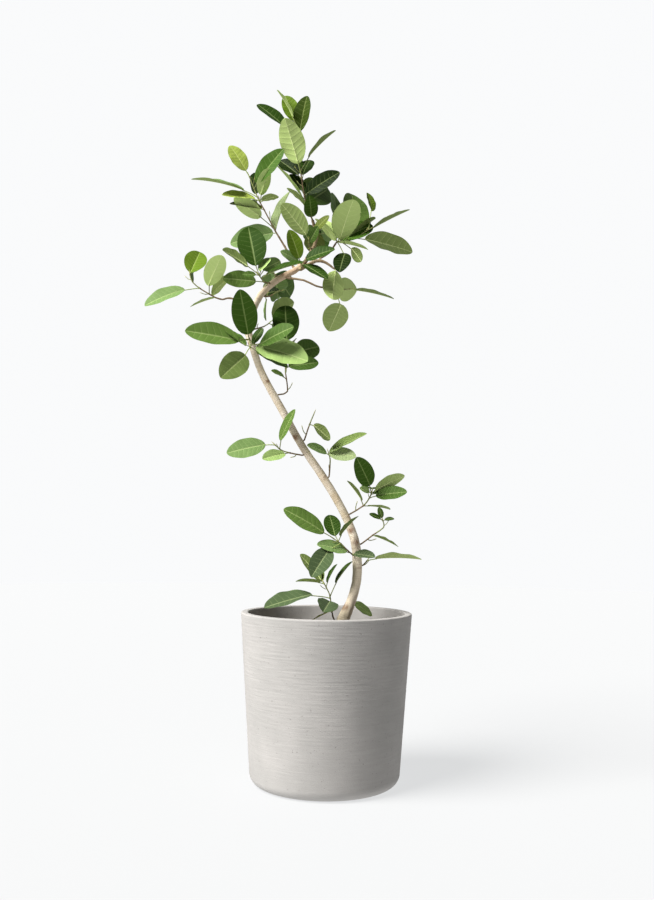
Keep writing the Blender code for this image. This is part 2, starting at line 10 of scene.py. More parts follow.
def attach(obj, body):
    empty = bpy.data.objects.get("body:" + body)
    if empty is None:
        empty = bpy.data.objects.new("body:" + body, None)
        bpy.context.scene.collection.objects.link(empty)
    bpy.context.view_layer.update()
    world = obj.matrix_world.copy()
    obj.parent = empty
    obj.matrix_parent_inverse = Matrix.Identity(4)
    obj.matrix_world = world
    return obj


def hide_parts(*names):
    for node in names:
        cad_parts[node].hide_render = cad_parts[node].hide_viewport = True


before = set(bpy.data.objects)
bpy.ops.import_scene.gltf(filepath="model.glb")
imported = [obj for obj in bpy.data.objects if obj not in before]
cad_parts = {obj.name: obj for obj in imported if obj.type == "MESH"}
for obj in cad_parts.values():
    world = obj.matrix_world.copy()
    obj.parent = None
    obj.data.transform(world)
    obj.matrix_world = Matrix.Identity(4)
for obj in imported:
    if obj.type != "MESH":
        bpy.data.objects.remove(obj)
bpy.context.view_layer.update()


# The planter is stoneware in a pale, warm grey: straight sides that widen to a softened lip, a rounded foot
# and a flat underside. It was turned on a wheel and brushed while wet, which left uneven rings round it.

PLANTER_HEIGHT = 0.360
PLANTER_TOP_RADIUS = 0.185
PLANTER_BASE_RADIUS = 0.160
PLANTER_WALL = 0.015
PLANTER_FLOOR = 0.018
PLANTER_FOOT_ROUND = 0.025
PLANTER_LIP_ROUND = 0.003
PLANTER_FOOT_SPREAD = 0.001
PLANTER_SIDES = 180
INSIDE_ROWS = 60
RING_STEP = 0.0011
RING_DEPTH = 0.00012
RING_DEPTH_BY_FOOT = 0.4
RING_FLATNESS = 26.0
# The noise of the rings, as (share of the depth, size, seed)
RING_NOISE = ((0.6, 0.12, 3), (0.4, 0.06, 4))
# Heights where the rings begin and deepen, each with the span that it takes, and the span where they end
RINGS_BEGIN = (0.02, 0.03)
RINGS_DEEPEN = (0.04, 0.2)
RINGS_END_SPAN = 0.004
RIPPLE_WAVES = 16
RIPPLE_PACES = (0.6, 1.5)
# How wide the patches of the clay are, in metres, and how many times wider than high its streaks are
CLAY_CLOUD, CLAY_STREAK, CLAY_SAND, CLAY_PIT = 0.11, 0.055, 0.0018, 0.0042
STREAK_FLATNESS = 14.0
# Height below which the foot gets painted light: paler clay that stands in for light thrown up by the floor
PAINTED_FOOT_LIGHT_HEIGHT = 0.024


def srgb(red, green, blue):
    """A screen colour made linear: (c + 0.055) / 1.055 to the power 2.4, or c / 12.92 where c is near 0. The
    fourth value is full cover.
    """
    share = np.array([red, green, blue]) / 255
    return (*np.where(share > 0.04045, ((share + 0.055) / 1.055) ** 2.4, share / 12.92), 1.0)


def ripples(points, size, seed):
    """Smooth noise of about unit size: a sum of sines that run in seeded directions, each near size long."""
    rng = np.random.default_rng(seed)
    ways = rng.normal(size=(RIPPLE_WAVES, 3))
    pace = 2 * math.pi / size * rng.uniform(*RIPPLE_PACES, (RIPPLE_WAVES, 1))
    ways *= pace / np.linalg.norm(ways, axis=1, keepdims=True)
    start = rng.uniform(0, 2 * math.pi, RIPPLE_WAVES)
    return np.sin(points @ ways.T + start).sum(-1) / math.sqrt(RIPPLE_WAVES / 2)


def laid_ripples(points, waves):
    """Several ripples laid on each other, each as (height, size, seed)."""
    return sum(height * ripples(points, size, seed) for height, size, seed in waves)


def round_angles(sides):
    """Even angles round a circle."""
    return np.arange(sides) * 2 * math.pi / sides


def turned(radius, angle, height):
    """The points at a radius, an angle and a height about Z, whose shapes broadcast."""
    return np.stack(np.broadcast_arrays(radius * np.cos(angle), radius * np.sin(angle), height), -1)


def grid_faces(rows, columns):
    """Quads of a grid numbered row by row, whose last column joins its first."""
    row = np.arange(rows - 1)[:, None] * columns
    column = np.arange(columns)[None, :]
    beside = (column + 1) % columns
    corners = (row + column, row + beside, row + columns + beside, row + columns + column)
    return np.stack(np.broadcast_arrays(*corners), -1).reshape(-1, 4)


def fan_faces(ring, middle):
    """Triangles, with -1 for a fourth corner, from a closed ring of point numbers to one middle point."""
    return np.stack([ring, np.roll(ring, -1), np.full(len(ring), middle), np.full(len(ring), -1)], -1)


def faced_out(points, faces):
    """A closed shell's faces turned outwards, so that the signed volumes of their fans add up to above 0."""
    a, b, c, d = (points[faces[:, k]] for k in range(4))
    volume = np.einsum("ij,ij->", a, np.cross(b, c))
    volume += np.einsum("ij,ij->", a, np.cross(c, d) * (faces[:, 3:] >= 0))
    if volume > 0:
        return faces
    return np.where(faces[:, 3:] >= 0, faces[:, ::-1], faces[:, [1, 0, 2, 3]])


def shell_of_rings(rings):
    """A closed shell from rings of points, where the first and the last ring are single points repeated."""
    rows, columns = rings.shape[:2]
    inner = rings[1:-1].reshape(-1, 3)
    points = np.vstack([inner, rings[0, :1], rings[-1, :1]])
    first = np.arange(columns)
    faces = np.vstack([
        grid_faces(rows - 2, columns),
        fan_faces(first[::-1], len(inner)),
        fan_faces(first + (rows - 3) * columns, len(inner) + 1),
    ])
    return points, faced_out(points, faces)


def joined(shells):
    """Several (points, faces, slots) shells as one, with the point numbers moved on."""
    points, faces, slots, start = [], [], [], 0
    for shell_points, shell_faces, shell_slots in shells:
        points.append(shell_points)
        faces.append(np.where(shell_faces >= 0, shell_faces + start, -1))
        slots.append(np.broadcast_to(shell_slots, len(shell_faces)))
        start += len(shell_points)
    return np.vstack(points), np.vstack(faces), np.concatenate(slots)


def placed(name, data):
    """An object of a mesh, lamp or camera, in the scene."""
    made = bpy.data.objects.new(name, data)
    bpy.context.scene.collection.objects.link(made)
    return made


def shown_piece(name, points, faces, finishes, slots=None, sharp=50, marks=None):
    """An object at the origin that rides on the root body: one mesh, shaded smooth but at edges over sharp
    degrees. Slots number each face's finish, and marks are named values for each point.
    """
    mesh = bpy.data.meshes.new(name)
    used = faces >= 0
    mesh.vertices.add(len(points))
    mesh.vertices.foreach_set("co", points.astype(np.float32).ravel())
    mesh.loops.add(int(used.sum()))
    mesh.loops.foreach_set("vertex_index", faces[used].astype(np.int32))
    mesh.polygons.add(len(faces))
    starts = np.concatenate([[0], np.cumsum(used.sum(1))[:-1]])
    mesh.polygons.foreach_set("loop_start", starts.astype(np.int32))
    if slots is not None:
        mesh.polygons.foreach_set("material_index", slots.astype(np.int32))
    for key, values in (marks or {}).items():
        attribute = mesh.attributes.new(key, "FLOAT", "POINT")
        attribute.data.foreach_set("value", values.astype(np.float32).ravel())
    mesh.update(calc_edges=True)
    mesh.validate()
    for finish in finishes:
        mesh.materials.append(finish)
    mesh.shade_smooth()
    mesh.set_sharp_from_angle(angle=math.radians(sharp))
    piece = placed(name, mesh)
    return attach(piece, "root")


def new_finish(name, colour, roughness, **sockets):
    """A Principled material with these constant sockets."""
    made = bpy.data.materials.new(name)
    made.use_nodes = True
    shader = made.node_tree.nodes["Principled BSDF"]
    shader.inputs["Base Color"].default_value = colour
    shader.inputs["Roughness"].default_value = roughness
    for key, value in sockets.items():
        shader.inputs[key.replace("_", " ")].default_value = value
    return made


def add_node(tree, kind, sockets=None, **settings):
    """A shader node of this kind with its settings, and its inputs set to values or linked to outputs."""
    node = tree.nodes.new("ShaderNode" + kind)
    for key, value in settings.items():
        setattr(node, key, value)
    for key, value in (sockets or {}).items():
        if isinstance(value, bpy.types.NodeSocket):
            tree.links.new(value, node.inputs[key])
        else:
            node.inputs[key].default_value = value
    return node


def noise(tree, where, size, detail, roughness=0.55):
    """Noise whose blotches are about size metres across, read at the point that where gives."""
    sockets = {"Vector": where, "Scale": 1 / size, "Detail": detail, "Roughness": roughness}
    return add_node(tree, "TexNoise", sockets).outputs["Fac"]


def stretched(tree, value, low, high, to_low=0.0, to_high=1.0):
    """The value mapped from low..high onto to_low..to_high, and held at the ends."""
    sockets = {"Value": value, "From Min": low, "From Max": high, "To Min": to_low, "To Max": to_high}
    return add_node(tree, "MapRange", sockets, clamp=True).outputs["Result"]


def blended(tree, share, under, over):
    """A colour that runs from under to over as share goes from 0 to 1."""
    return add_node(tree, "Mix", {"Factor": share, 6: under, 7: over}, data_type="RGBA").outputs[2]


def coated(tree, colour, layers):
    """The colour with others laid on it. Each layer is (value, low, high, most, over): the share of over
    goes from 0 where the value is low to most where it is high.
    """
    for value, low, high, most, over in layers:
        colour = blended(tree, stretched(tree, value, low, high, 0.0, most), colour, over)
    return colour


def wired(made, colour, relief, strength, depth, rough=None):
    """The material with its colour, its bumps by the relief, and its roughness if it varies, linked."""
    tree = made.node_tree
    inputs = tree.nodes["Principled BSDF"].inputs
    bump = add_node(tree, "Bump", {"Height": relief, "Strength": strength, "Distance": depth})
    tree.links.new(colour, inputs["Base Color"])
    tree.links.new(bump.outputs["Normal"], inputs["Normal"])
    if rough is not None:
        tree.links.new(rough, inputs["Roughness"])
    return made


def stoneware_finish():
    """Pale grey clay: cloudy, streaked level with the wheel, sandy and pitted, with painted light that makes
    its foot paler.
    """
    made = new_finish("stoneware", srgb(159, 156, 152), 0.85)
    tree = made.node_tree
    where = add_node(tree, "TexCoord").outputs["Object"]
    squeeze = {"Vector": where, "Scale": (1.0, 1.0, STREAK_FLATNESS)}
    flat = add_node(tree, "Mapping", squeeze).outputs["Vector"]
    cloud = stretched(tree, noise(tree, where, CLAY_CLOUD, 3.0), 0.35, 0.65)
    brushed = stretched(tree, noise(tree, flat, CLAY_STREAK, 6.0, 0.65), 0.32, 0.7)
    sand = stretched(tree, noise(tree, where, CLAY_SAND, 3.0, 0.6), 0.35, 0.7)
    pit = stretched(tree, noise(tree, where, CLAY_PIT, 2.0, 0.4), 0.70, 0.74)
    height = add_node(tree, "SeparateXYZ", {"Vector": where}).outputs["Z"]
    colour = blended(tree, cloud, srgb(155, 153, 150), srgb(167, 164, 161))
    colour = coated(tree, colour, (
        (brushed, 0.0, 1.0, 0.30, srgb(141, 138, 135)),
        (sand, 0.0, 1.0, 0.22, srgb(134, 130, 125)),
        (pit, 0.0, 1.0, 0.55, srgb(99, 96, 92)),
        # Painted light: the foot is paler, standing in for light that the floor throws up onto it
        (height, PAINTED_FOOT_LIGHT_HEIGHT, 0.002, 0.62, srgb(205, 202, 198)),
    ))
    rough = stretched(tree, brushed, 0.0, 1.0, 0.80, 0.92)
    sunk = stretched(tree, pit, 0.0, 1.0, 0.0, 1.5)
    relief = add_node(tree, "Math", {0: sand, 1: sunk}, operation="SUBTRACT").outputs[0]
    return wired(made, colour, relief, 0.30, 0.0006, rough)


def inner_radius(z):
    """The planter's inside radius at height z."""
    widening = (PLANTER_TOP_RADIUS - PLANTER_BASE_RADIUS) / PLANTER_HEIGHT
    return PLANTER_BASE_RADIUS + widening * z - PLANTER_WALL


def arc(centre_radius, centre_z, radius, first, last, steps):
    """Points (radius, height) of an arc between two angles in degrees."""
    angles = np.radians(np.linspace(first, last, steps + 1))
    return np.stack([centre_radius + radius * np.cos(angles), centre_z + radius * np.sin(angles)], -1)


def rising(height, start, span):
    """0 up to start, then rising evenly to 1 over span."""
    return np.clip((height - start) / span, 0, 1)


def planter_shell():
    """A profile turned about Z: up the inside, over the lip, down the wall and round the foot. Its points
    move in or out by the rings, which are noise that changes quickly with height and slowly round the wall.
    """
    lip, foot = PLANTER_LIP_ROUND, PLANTER_FOOT_ROUND
    lip_z = PLANTER_HEIGHT - lip
    rows = np.arange(lip_z - RING_STEP, foot, -RING_STEP)
    wall = PLANTER_BASE_RADIUS + (PLANTER_TOP_RADIUS - PLANTER_BASE_RADIUS) * (rows - foot) / (lip_z - foot)
    wall += PLANTER_FOOT_SPREAD * (lip_z - rows) / (lip_z - foot)
    inside = np.linspace(PLANTER_FLOOR, lip_z, INSIDE_ROWS)[1:-1]
    profile = np.vstack([
        [(0.0, PLANTER_FLOOR), (inner_radius(PLANTER_FLOOR), PLANTER_FLOOR)],
        np.stack([inner_radius(inside), inside], -1),
        arc(inner_radius(lip_z) + lip, lip_z, lip, 180, 90, 5),
        arc(PLANTER_TOP_RADIUS - lip, lip_z, lip, 90, 0, 5),
        np.stack([wall, rows], -1),
        arc(PLANTER_BASE_RADIUS + PLANTER_FOOT_SPREAD - foot, foot, foot, 0, -90, 12),
        [(0.0, 0.0)],
    ])
    radius, height = profile[:, :1], profile[:, 1:]
    rings = turned(radius, round_angles(PLANTER_SIDES), height)
    ridge = laid_ripples(rings * (1.0, 1.0, RING_FLATNESS), RING_NOISE)
    depth = RING_DEPTH_BY_FOOT + (1 - RING_DEPTH_BY_FOOT) * rising(height, *RINGS_DEEPEN)
    faded = rising(height, *RINGS_BEGIN) * rising(lip_z - height, 0, RINGS_END_SPAN) * depth
    away = rings * (1, 1, 0) / np.maximum(radius, 1e-6)[..., None]
    return shell_of_rings(rings + away * (RING_DEPTH * ridge * faded)[..., None])


planter = shown_piece("planter_turned", *planter_shell(), [stoneware_finish()], sharp=40)
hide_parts("planter")


# The potting mix fills the planter to a few centimetres under its lip: peat, crumbled and a little uneven,
# with chips of bark and white perlite lying loose on it. The trunk comes straight out of it.

SOIL_TOP = 0.315
SOIL_SKIRT = 0.02
SOIL_EDGE_GAP = 0.0006
SOIL_SINKS = 0.0008
SOIL_RINGS = 63
SOIL_SIDES = 150
SOIL_MIDDLE = 0.004
# Lumps and crumbs of the surface, as (height, size, seed)
SOIL_LUMPS = ((0.0012, 0.05, 5), (0.0006, 0.012, 6))
CHIP_COUNT = 420
CHIP_SIDES = 7
CHIP_RADIUS = (0.0018, 0.0048)
CHIP_BREADTH = (0.45, 0.9)
CHIP_THICKNESS = (0.3, 0.6)
CHIP_LIFT = 0.1
CHIP_FROM_WALL = 0.010
# Bark chips, peat crumbs and perlite: the share of each kind, and its size beside the bark's
CHIP_SHARES = (0.5, 0.34, 0.16)
CHIP_SCALES = (1.0, 0.9, 0.6)


def potting_mix_finish():
    """Dark brown peat, mottled by fine crumbs and by larger damp patches."""
    made = new_finish("peat", srgb(58, 44, 34), 0.95)
    tree = made.node_tree
    where = add_node(tree, "TexCoord").outputs["Object"]
    crumb = noise(tree, where, 0.004, 5.0, 0.7)
    damp = stretched(tree, noise(tree, where, 0.05, 3.0), 0.4, 0.6)
    colour = blended(tree, stretched(tree, crumb, 0.35, 0.7), srgb(38, 28, 21), srgb(84, 64, 47))
    colour = coated(tree, colour, [(damp, 0.0, 1.0, 0.5, srgb(34, 25, 19))])
    return wired(made, colour, crumb, 0.7, 0.002)


def soil_shell():
    """A disc of rings with two sizes of noise on its top, closed by a short skirt and a flat bottom."""
    edge = inner_radius(SOIL_TOP - SOIL_SKIRT) - SOIL_EDGE_GAP
    radius = np.concatenate([[0.0], np.linspace(SOIL_MIDDLE, edge, SOIL_RINGS - 1), [edge, 0.0]])
    height = np.concatenate([np.full(SOIL_RINGS, SOIL_TOP - SOIL_SINKS), [SOIL_TOP - SOIL_SKIRT] * 2])
    rings = turned(radius[:, None], round_angles(SOIL_SIDES), height[:, None])
    lumps = laid_ripples(rings[:SOIL_RINGS], SOIL_LUMPS)
    lumps[0] = lumps[0].mean()
    rings[:SOIL_RINGS, :, 2] += lumps
    return shell_of_rings(rings)


def chip_shell(centre, sizes, turn, seed):
    """A lump of three rings between two end points, pushed about, then stretched, turned and placed."""
    rng = np.random.default_rng(seed)
    level = np.array([-1.0, -0.62, 0.0, 0.62, 1.0])
    wide = np.sqrt(1 - level**2)[:, None] * rng.uniform(0.75, 1.2, (len(level), CHIP_SIDES))
    rings = turned(wide, round_angles(CHIP_SIDES), level[:, None]) * sizes
    cos, sin = math.cos(turn), math.sin(turn)
    return shell_of_rings(rings @ np.array([(cos, sin, 0), (-sin, cos, 0), (0, 0, 1)]) + centre)


def chips():
    """Seeded places over the disc, each chip resting half sunk in the mix."""
    rng = np.random.default_rng(8)
    shells = []
    for number in range(CHIP_COUNT):
        reach = (inner_radius(SOIL_TOP) - CHIP_FROM_WALL) * math.sqrt(rng.uniform())
        around = rng.uniform(0, 2 * math.pi)
        kind = rng.choice(3, p=CHIP_SHARES)
        size = rng.uniform(*CHIP_RADIUS) * CHIP_SCALES[kind]
        sizes = size * np.array([1.0, rng.uniform(*CHIP_BREADTH), rng.uniform(*CHIP_THICKNESS)])
        centre = turned(reach, around, SOIL_TOP + CHIP_LIFT * size)
        shells.append((*chip_shell(centre, sizes, rng.uniform(0, math.pi), number), kind))
    return joined(shells)


soil = shown_piece("potting_mix_surface", *soil_shell(), [potting_mix_finish()], sharp=70)
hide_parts("soil")
points, faces, slots = chips()
chip_finishes = [
    new_finish("bark_chip", srgb(92, 66, 46), 0.9),
    new_finish("peat_crumb", srgb(60, 46, 36), 0.95),
    new_finish("perlite", srgb(205, 200, 190), 0.9),
]
shown_piece("potting_mix_chips", points, faces, chip_finishes, slots, sharp=30)


# The trunk is one winding stem with pale tan bark: it flares at the soil, leans right, then swings left and
# bends over to a fork. Thin boughs grow from it. The bark has fine wrinkles, rings and brown leaf scars.

# The gap between a limb or stem and what it grows from
CLEAR = 0.0003
# Each limb is its points (x, y, z, radius). A first entry of (name, share) says which limb it leaves,
# and how far along that limb.
LIMBS = {
    "trunk_lower": [
        None,
        (0.034, 0.000, SOIL_TOP + CLEAR, 0.0185),
        (0.034, 0.000, 0.326, 0.0160),
        (0.038, 0.002, 0.347, 0.0126),
        (0.053, 0.006, 0.380, 0.0104),
        (0.065, 0.010, 0.425, 0.0100),
        (0.066, 0.012, 0.470, 0.0104),
        (0.059, 0.010, 0.520, 0.0096),
        (0.032, 0.004, 0.582, 0.0088),
        (-0.008, -0.004, 0.648, 0.0088),
        (-0.058, -0.012, 0.720, 0.0082),
        (-0.104, -0.018, 0.800, 0.0082),
        (-0.150, -0.020, 0.882, 0.0077),
        (-0.177, -0.018, 0.958, 0.0076),
    ],
    "trunk_upper": [
        ("trunk_lower", 1.0),
        (-0.179, -0.016, 0.985, 0.0076),
        (-0.173, -0.012, 1.018, 0.0075),
        (-0.155, -0.008, 1.060, 0.0073),
        (-0.118, -0.004, 1.095, 0.0070),
        (-0.082, 0.000, 1.116, 0.0067),
        (-0.062, 0.003, 1.134, 0.0060),
    ],
    "bough_leader": [
        ("trunk_upper", 1.0),
        (-0.046, 0.006, 1.160, 0.0042),
        (-0.033, 0.008, 1.195, 0.0038),
        (-0.043, 0.008, 1.236, 0.0034),
    ],
    "bough_right": [
        ("trunk_upper", 0.93),
        (-0.034, -0.012, 1.136, 0.0038),
        (-0.012, -0.014, 1.132, 0.0030),
        (0.006, -0.014, 1.119, 0.0022),
    ],
    "bough_rising": [
        ("bough_right", 0.60),
        (-0.004, -0.012, 1.155, 0.0021),
        (0.011, -0.012, 1.178, 0.0019),
    ],
    "bough_left": [
        ("trunk_upper", 0.90),
        (-0.094, 0.012, 1.156, 0.0024),
        (-0.122, 0.008, 1.202, 0.0020),
    ],
    "bough_low": [
        ("trunk_upper", 0.78),
        (-0.060, -0.018, 1.090, 0.0022),
        (-0.032, -0.022, 1.076, 0.0020),
        (-0.012, -0.024, 1.072, 0.0018),
    ],
    "bough_far_left": [
        ("trunk_upper", 0.22),
        (-0.216, -0.020, 1.046, 0.0021),
        (-0.238, -0.022, 1.043, 0.0019),
        (-0.252, -0.023, 1.046, 0.0018),
    ],
}
# A limb starts this much thicker than its first point, and runs this many radii straight out of its parent
COLLAR, SQUARE_PART = 1.08, 1.2
LIMB_STEP = 0.022
SMOOTHED_OVER = 0.006
TRUNK_SIDES, TRUNK_STEP = 48, 0.0016
TRUNK_WRINKLE, TRUNK_FLARE = 0.0001, 0.005
BOUGH_SIDES, BOUGH_STEP = 18, 0.0012
BOUGH_WRINKLE, BOUGH_FLARE = 0.00007, 0.0006
BOUGH_INSET = 0.002
BOUGH_ROOT_WIDER = 1.25
# The bark's noise is read on a tube of this radius, along which lengths are multiplied by this share
GRAIN_RADIUS, GRAIN_DRAWN_OUT = 0.011, 0.22
NODE_RING_HALF = 0.0011
NODE_RING_TILT = 0.0012
# How much a full ring and a full scar swell the limb, as shares of its radius, and how rough a scar is
RING_SWELL, SCAR_SWELL, SCAR_ROUGH = 0.045, 0.07, 0.00025
# Heights of the rings on the trunk
TRUNK_RINGS = (
    0.345, 0.386, 0.430, 0.463, 0.500, 0.566, 0.600, 0.629, 0.676, 0.705, 0.768, 0.790, 0.836, 0.884, 0.912,
    0.972, 1.012, 1.046, 1.078, 1.098, 1.124,
)
# Scars on the trunk: height, strength, half height, and degrees round the limb, where 270 faces the viewer
# The dark colour of the wide scar at 0.512 is painted shade, where a leaf's shade falls on the trunk
TRUNK_SCARS = (
    (0.366, 0.9, 0.0100, 325), (0.512, 0.8, 0.0110, 250), (0.538, 1.0, 0.0065, 285),
    (0.566, 0.5, 0.0040, 215), (0.652, 0.6, 0.0035, 250), (0.741, 1.0, 0.0070, 300),
    (0.859, 0.8, 0.0045, 230), (0.946, 0.8, 0.0060, 310), (1.030, 0.7, 0.0045, 320),
    (1.102, 0.8, 0.0050, 300), (0.455, 0.5, 0.0030, 240), (0.795, 0.6, 0.0035, 100),
)
# Places of a bough's rings and scars, as shares of its length
BOUGH_SCARS = (0.16, 0.42, 0.66, 0.9)


def unit(vector):
    """The vector made one long."""
    return vector / np.linalg.norm(vector)


def smooth_path(points, step):
    """A Catmull-Rom curve through the points, with a new point about every step."""
    points = np.array(points, float)
    padded = np.vstack([2 * points[0] - points[1], points, 2 * points[-1] - points[-2]])
    pieces = []
    for a, b, c, d in zip(padded, padded[1:], padded[2:], padded[3:]):
        count = max(2, round(np.linalg.norm((c - b)[:3]) / step))
        t = np.arange(count)[:, None] / count
        curve = 2 * b + (c - a) * t + (2 * a - 5 * b + 4 * c - d) * t**2 + (3 * b - a - 3 * c + d) * t**3
        pieces.append(curve / 2)
    return np.vstack(pieces + [points[-1:]])


def run_of(path):
    """How far along a path each of its points lies."""
    return np.concatenate([[0], np.cumsum(np.linalg.norm(np.diff(path[:, :3], axis=0), axis=1))])


def place_on(path, share):
    """The point, radius and direction at a share of the length of a path, whose rows are x, y, z, radius."""
    reached = run_of(path)
    here = share * reached[-1]
    row = [np.interp(here, reached, path[:, k]) for k in range(4)]
    index = min(np.searchsorted(reached, here, side="right"), len(reached) - 1) - 1
    return np.array(row[:3]), row[3], unit(path[index + 1, :3] - path[index, :3])


def rooted_path(parent, share, points, radius, step):
    """A path that leaves its parent squarely, from its side or its tip, and runs on through points."""
    centre, parent_radius, direction = place_on(parent, share)
    if share == 1.0:
        out = direction
        start = centre + out * CLEAR
    else:
        away = np.array(points[0][:3]) - centre
        out = unit(away - direction * (away @ direction))
        start = centre + out * (parent_radius + CLEAR)
    first = np.array([(*start, radius)])
    return np.vstack([first, smooth_path([(*(start + out * SQUARE_PART * radius), radius), *points], step)])


def limb_paths():
    """The path of every limb, each started from the limb that it leaves."""
    paths = {}
    for name, (root, *points) in LIMBS.items():
        if root is None:
            paths[name] = np.vstack([points[:1], smooth_path(points[1:], LIMB_STEP)])
        else:
            paths[name] = rooted_path(paths[root[0]], root[1], points, points[0][3] * COLLAR, LIMB_STEP)
    return paths


def evenly(path, step):
    """The path read again at even steps along its length, with its corners smoothed. Returns the run too."""
    reached = run_of(path)
    count = max(6, round(reached[-1] / step) + 1)
    along = np.linspace(0, reached[-1], count)
    even = np.stack([np.interp(along, reached, path[:, k]) for k in range(path.shape[1])], -1)
    for _ in range(max(1, round(SMOOTHED_OVER / step))):
        even[1:-1] = (even[:-2] + 2 * even[1:-1] + even[2:]) / 4
    return even, run_of(even)


def started_inside(path, inset, wider=1.0):
    """The path with one more point before it, inside the limb that it grows from."""
    inward = path[:1].copy()
    inward[0, :3] -= unit(path[1, :3] - path[0, :3]) * inset
    inward[0, 3] *= wider
    return np.vstack([inward, path])


def tube_rings(centres, radius, sides):
    """Rings of points about a line of centres. Each ring's frame is the last one turned as little as the
    line turns. Radius is one number for each centre, or one for each point.
    """
    ahead = np.gradient(centres, axis=0)
    ahead /= np.linalg.norm(ahead, axis=1, keepdims=True)
    across = np.empty_like(ahead)
    last = unit(np.cross(ahead[0], (0.0, 1.0, 0.0) if abs(ahead[0, 1]) < 0.8 else (1.0, 0.0, 0.0)))
    for number, way in enumerate(ahead):
        last = unit(last - way * (last @ way))
        across[number] = last
    up = np.cross(across, ahead)
    angle = round_angles(sides)
    radius = np.asarray(radius).reshape(len(centres), -1)[..., None]
    around = across[:, None] * np.cos(angle)[None, :, None] + up[:, None] * np.sin(angle)[None, :, None]
    return centres[:, None] + around * radius


def capped(rings, start, end):
    """The rings with a single point, repeated, before the first and after the last."""
    sides = rings.shape[1]
    return np.concatenate([np.tile(start, (1, sides, 1)), rings, np.tile(end, (1, sides, 1))])


def bark_shell(path, sides, step, rings, scars, wrinkle, flare):
    """A tube whose radius is the path's, plus thin raised rings, oval scars, wrinkles drawn out along the
    limb, and by the soil a flare in lobes. Returns points and faces, and for each point its run along the
    path and how scarred it is.
    """
    even, run = evenly(path, step)
    along, angle = run[:, None], round_angles(sides)
    place = turned(GRAIN_RADIUS, angle, along * GRAIN_DRAWN_OUT)
    mark = np.zeros((len(run), sides))
    band = np.zeros((len(run), sides))
    for number, here in enumerate(rings):
        tilt = here + NODE_RING_TILT * np.sin(angle + 1.7 * number)
        near = np.exp(-((along - tilt) / NODE_RING_HALF) ** 2)
        band = np.maximum(band, (0.7 + 0.3 * np.cos(angle - number)) * near)
    for here, strength, half, side in scars:
        round_it = np.cos(angle - math.radians(side)) - 1
        mark = np.maximum(mark, strength * np.exp(2.2 * round_it - ((along - here) / half) ** 2))
    relief = wrinkle * (0.75 * ripples(place, 0.006, 10) + 0.5 * ripples(place * (1, 1, 4), 0.012, 11))
    lobes = flare * np.exp(-run / 0.026)[:, None] * (0.55 + 0.45 * np.cos(3 * angle + 0.9))
    ragged = SCAR_ROUGH * (mark * ripples(place, 0.003, 13))
    radius = even[:, 3:] * (1 + RING_SWELL * band + SCAR_SWELL * mark) + relief + ragged + lobes
    shell = tube_rings(even[:, :3], radius, sides)
    points, faces = shell_of_rings(capped(shell, even[0, :3], even[-1, :3]))
    run_at = np.concatenate([np.repeat(run, sides), [0.0, run[-1]]])
    scarred = np.maximum(mark * (1 + 0.25 * ripples(place, 0.004, 14)), 0.45 * band)
    return points, faces, {"run": run_at, "scarred": np.concatenate([scarred.ravel(), [0.0, 0.0]])}


def bark_finish(name, pale, tan, scar, green, foot, painted_light_reach, young):
    """Bark whose colour runs from pale to tan by noise, faintly banded and brown on scars. It gets painted
    light, a paler colour over the first stretch of its run where leaves cast shade on the lower trunk. It is
    greener by the foot, and redder past the length young, on this year's wood.
    """
    made = new_finish(name, tan, 0.82)
    tree = made.node_tree
    where = add_node(tree, "TexCoord").outputs["Object"]
    run = add_node(tree, "Attribute", attribute_name="run").outputs["Fac"]
    scarred = add_node(tree, "Attribute", attribute_name="scarred").outputs["Fac"]
    patch = stretched(tree, noise(tree, where, 0.03, 4.0), 0.38, 0.62)
    fleck = stretched(tree, noise(tree, where, 0.0035, 4.0, 0.65), 0.42, 0.7)
    sockets = {"W": run, "Scale": 420.0, "Detail": 3.0}
    band = add_node(tree, "TexNoise", sockets, noise_dimensions="1D").outputs["Fac"]
    colour = coated(tree, blended(tree, patch, pale, tan), (
        # Painted light: paler bark near the soil, standing in for the shade that the leaves cast on the
        # lower trunk
        (run, painted_light_reach, 0.6 * painted_light_reach, 0.8, srgb(246, 232, 208)),
        (run, young, 1.15 * young, 0.75, srgb(190, 152, 122)),
        (band, 0.52, 0.8, 0.3, scar),
        (fleck, 0.0, 1.0, 0.12, green),
        (scarred, 0.12, 0.85, 0.85, scar),
        (run, foot, 0.0, 0.75, green),
    ))
    return wired(made, colour, fleck, 0.15, 0.0003, stretched(tree, fleck, 0.0, 1.0, 0.74, 0.9))


limbs = limb_paths()
trunk_line = np.vstack([limbs["trunk_lower"], limbs["trunk_upper"][1:]])
trunk_run = run_of(trunk_line)
ring_runs = np.interp(TRUNK_RINGS, trunk_line[:, 2], trunk_run)
scars = [(np.interp(height, trunk_line[:, 2], trunk_run), *rest) for height, *rest in TRUNK_SCARS]
bark = bark_finish(
    "trunk_bark", srgb(226, 213, 194), srgb(206, 187, 158), srgb(122, 80, 54), srgb(150, 138, 96),
    foot=0.07, painted_light_reach=0.26, young=0.80,
)
points, faces, marks = bark_shell(
    trunk_line, TRUNK_SIDES, TRUNK_STEP, ring_runs, scars, TRUNK_WRINKLE, TRUNK_FLARE
)
trunk = shown_piece("trunk_bark", points, faces, [bark], sharp=60, marks=marks)
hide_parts("trunk_lower", "trunk_upper")
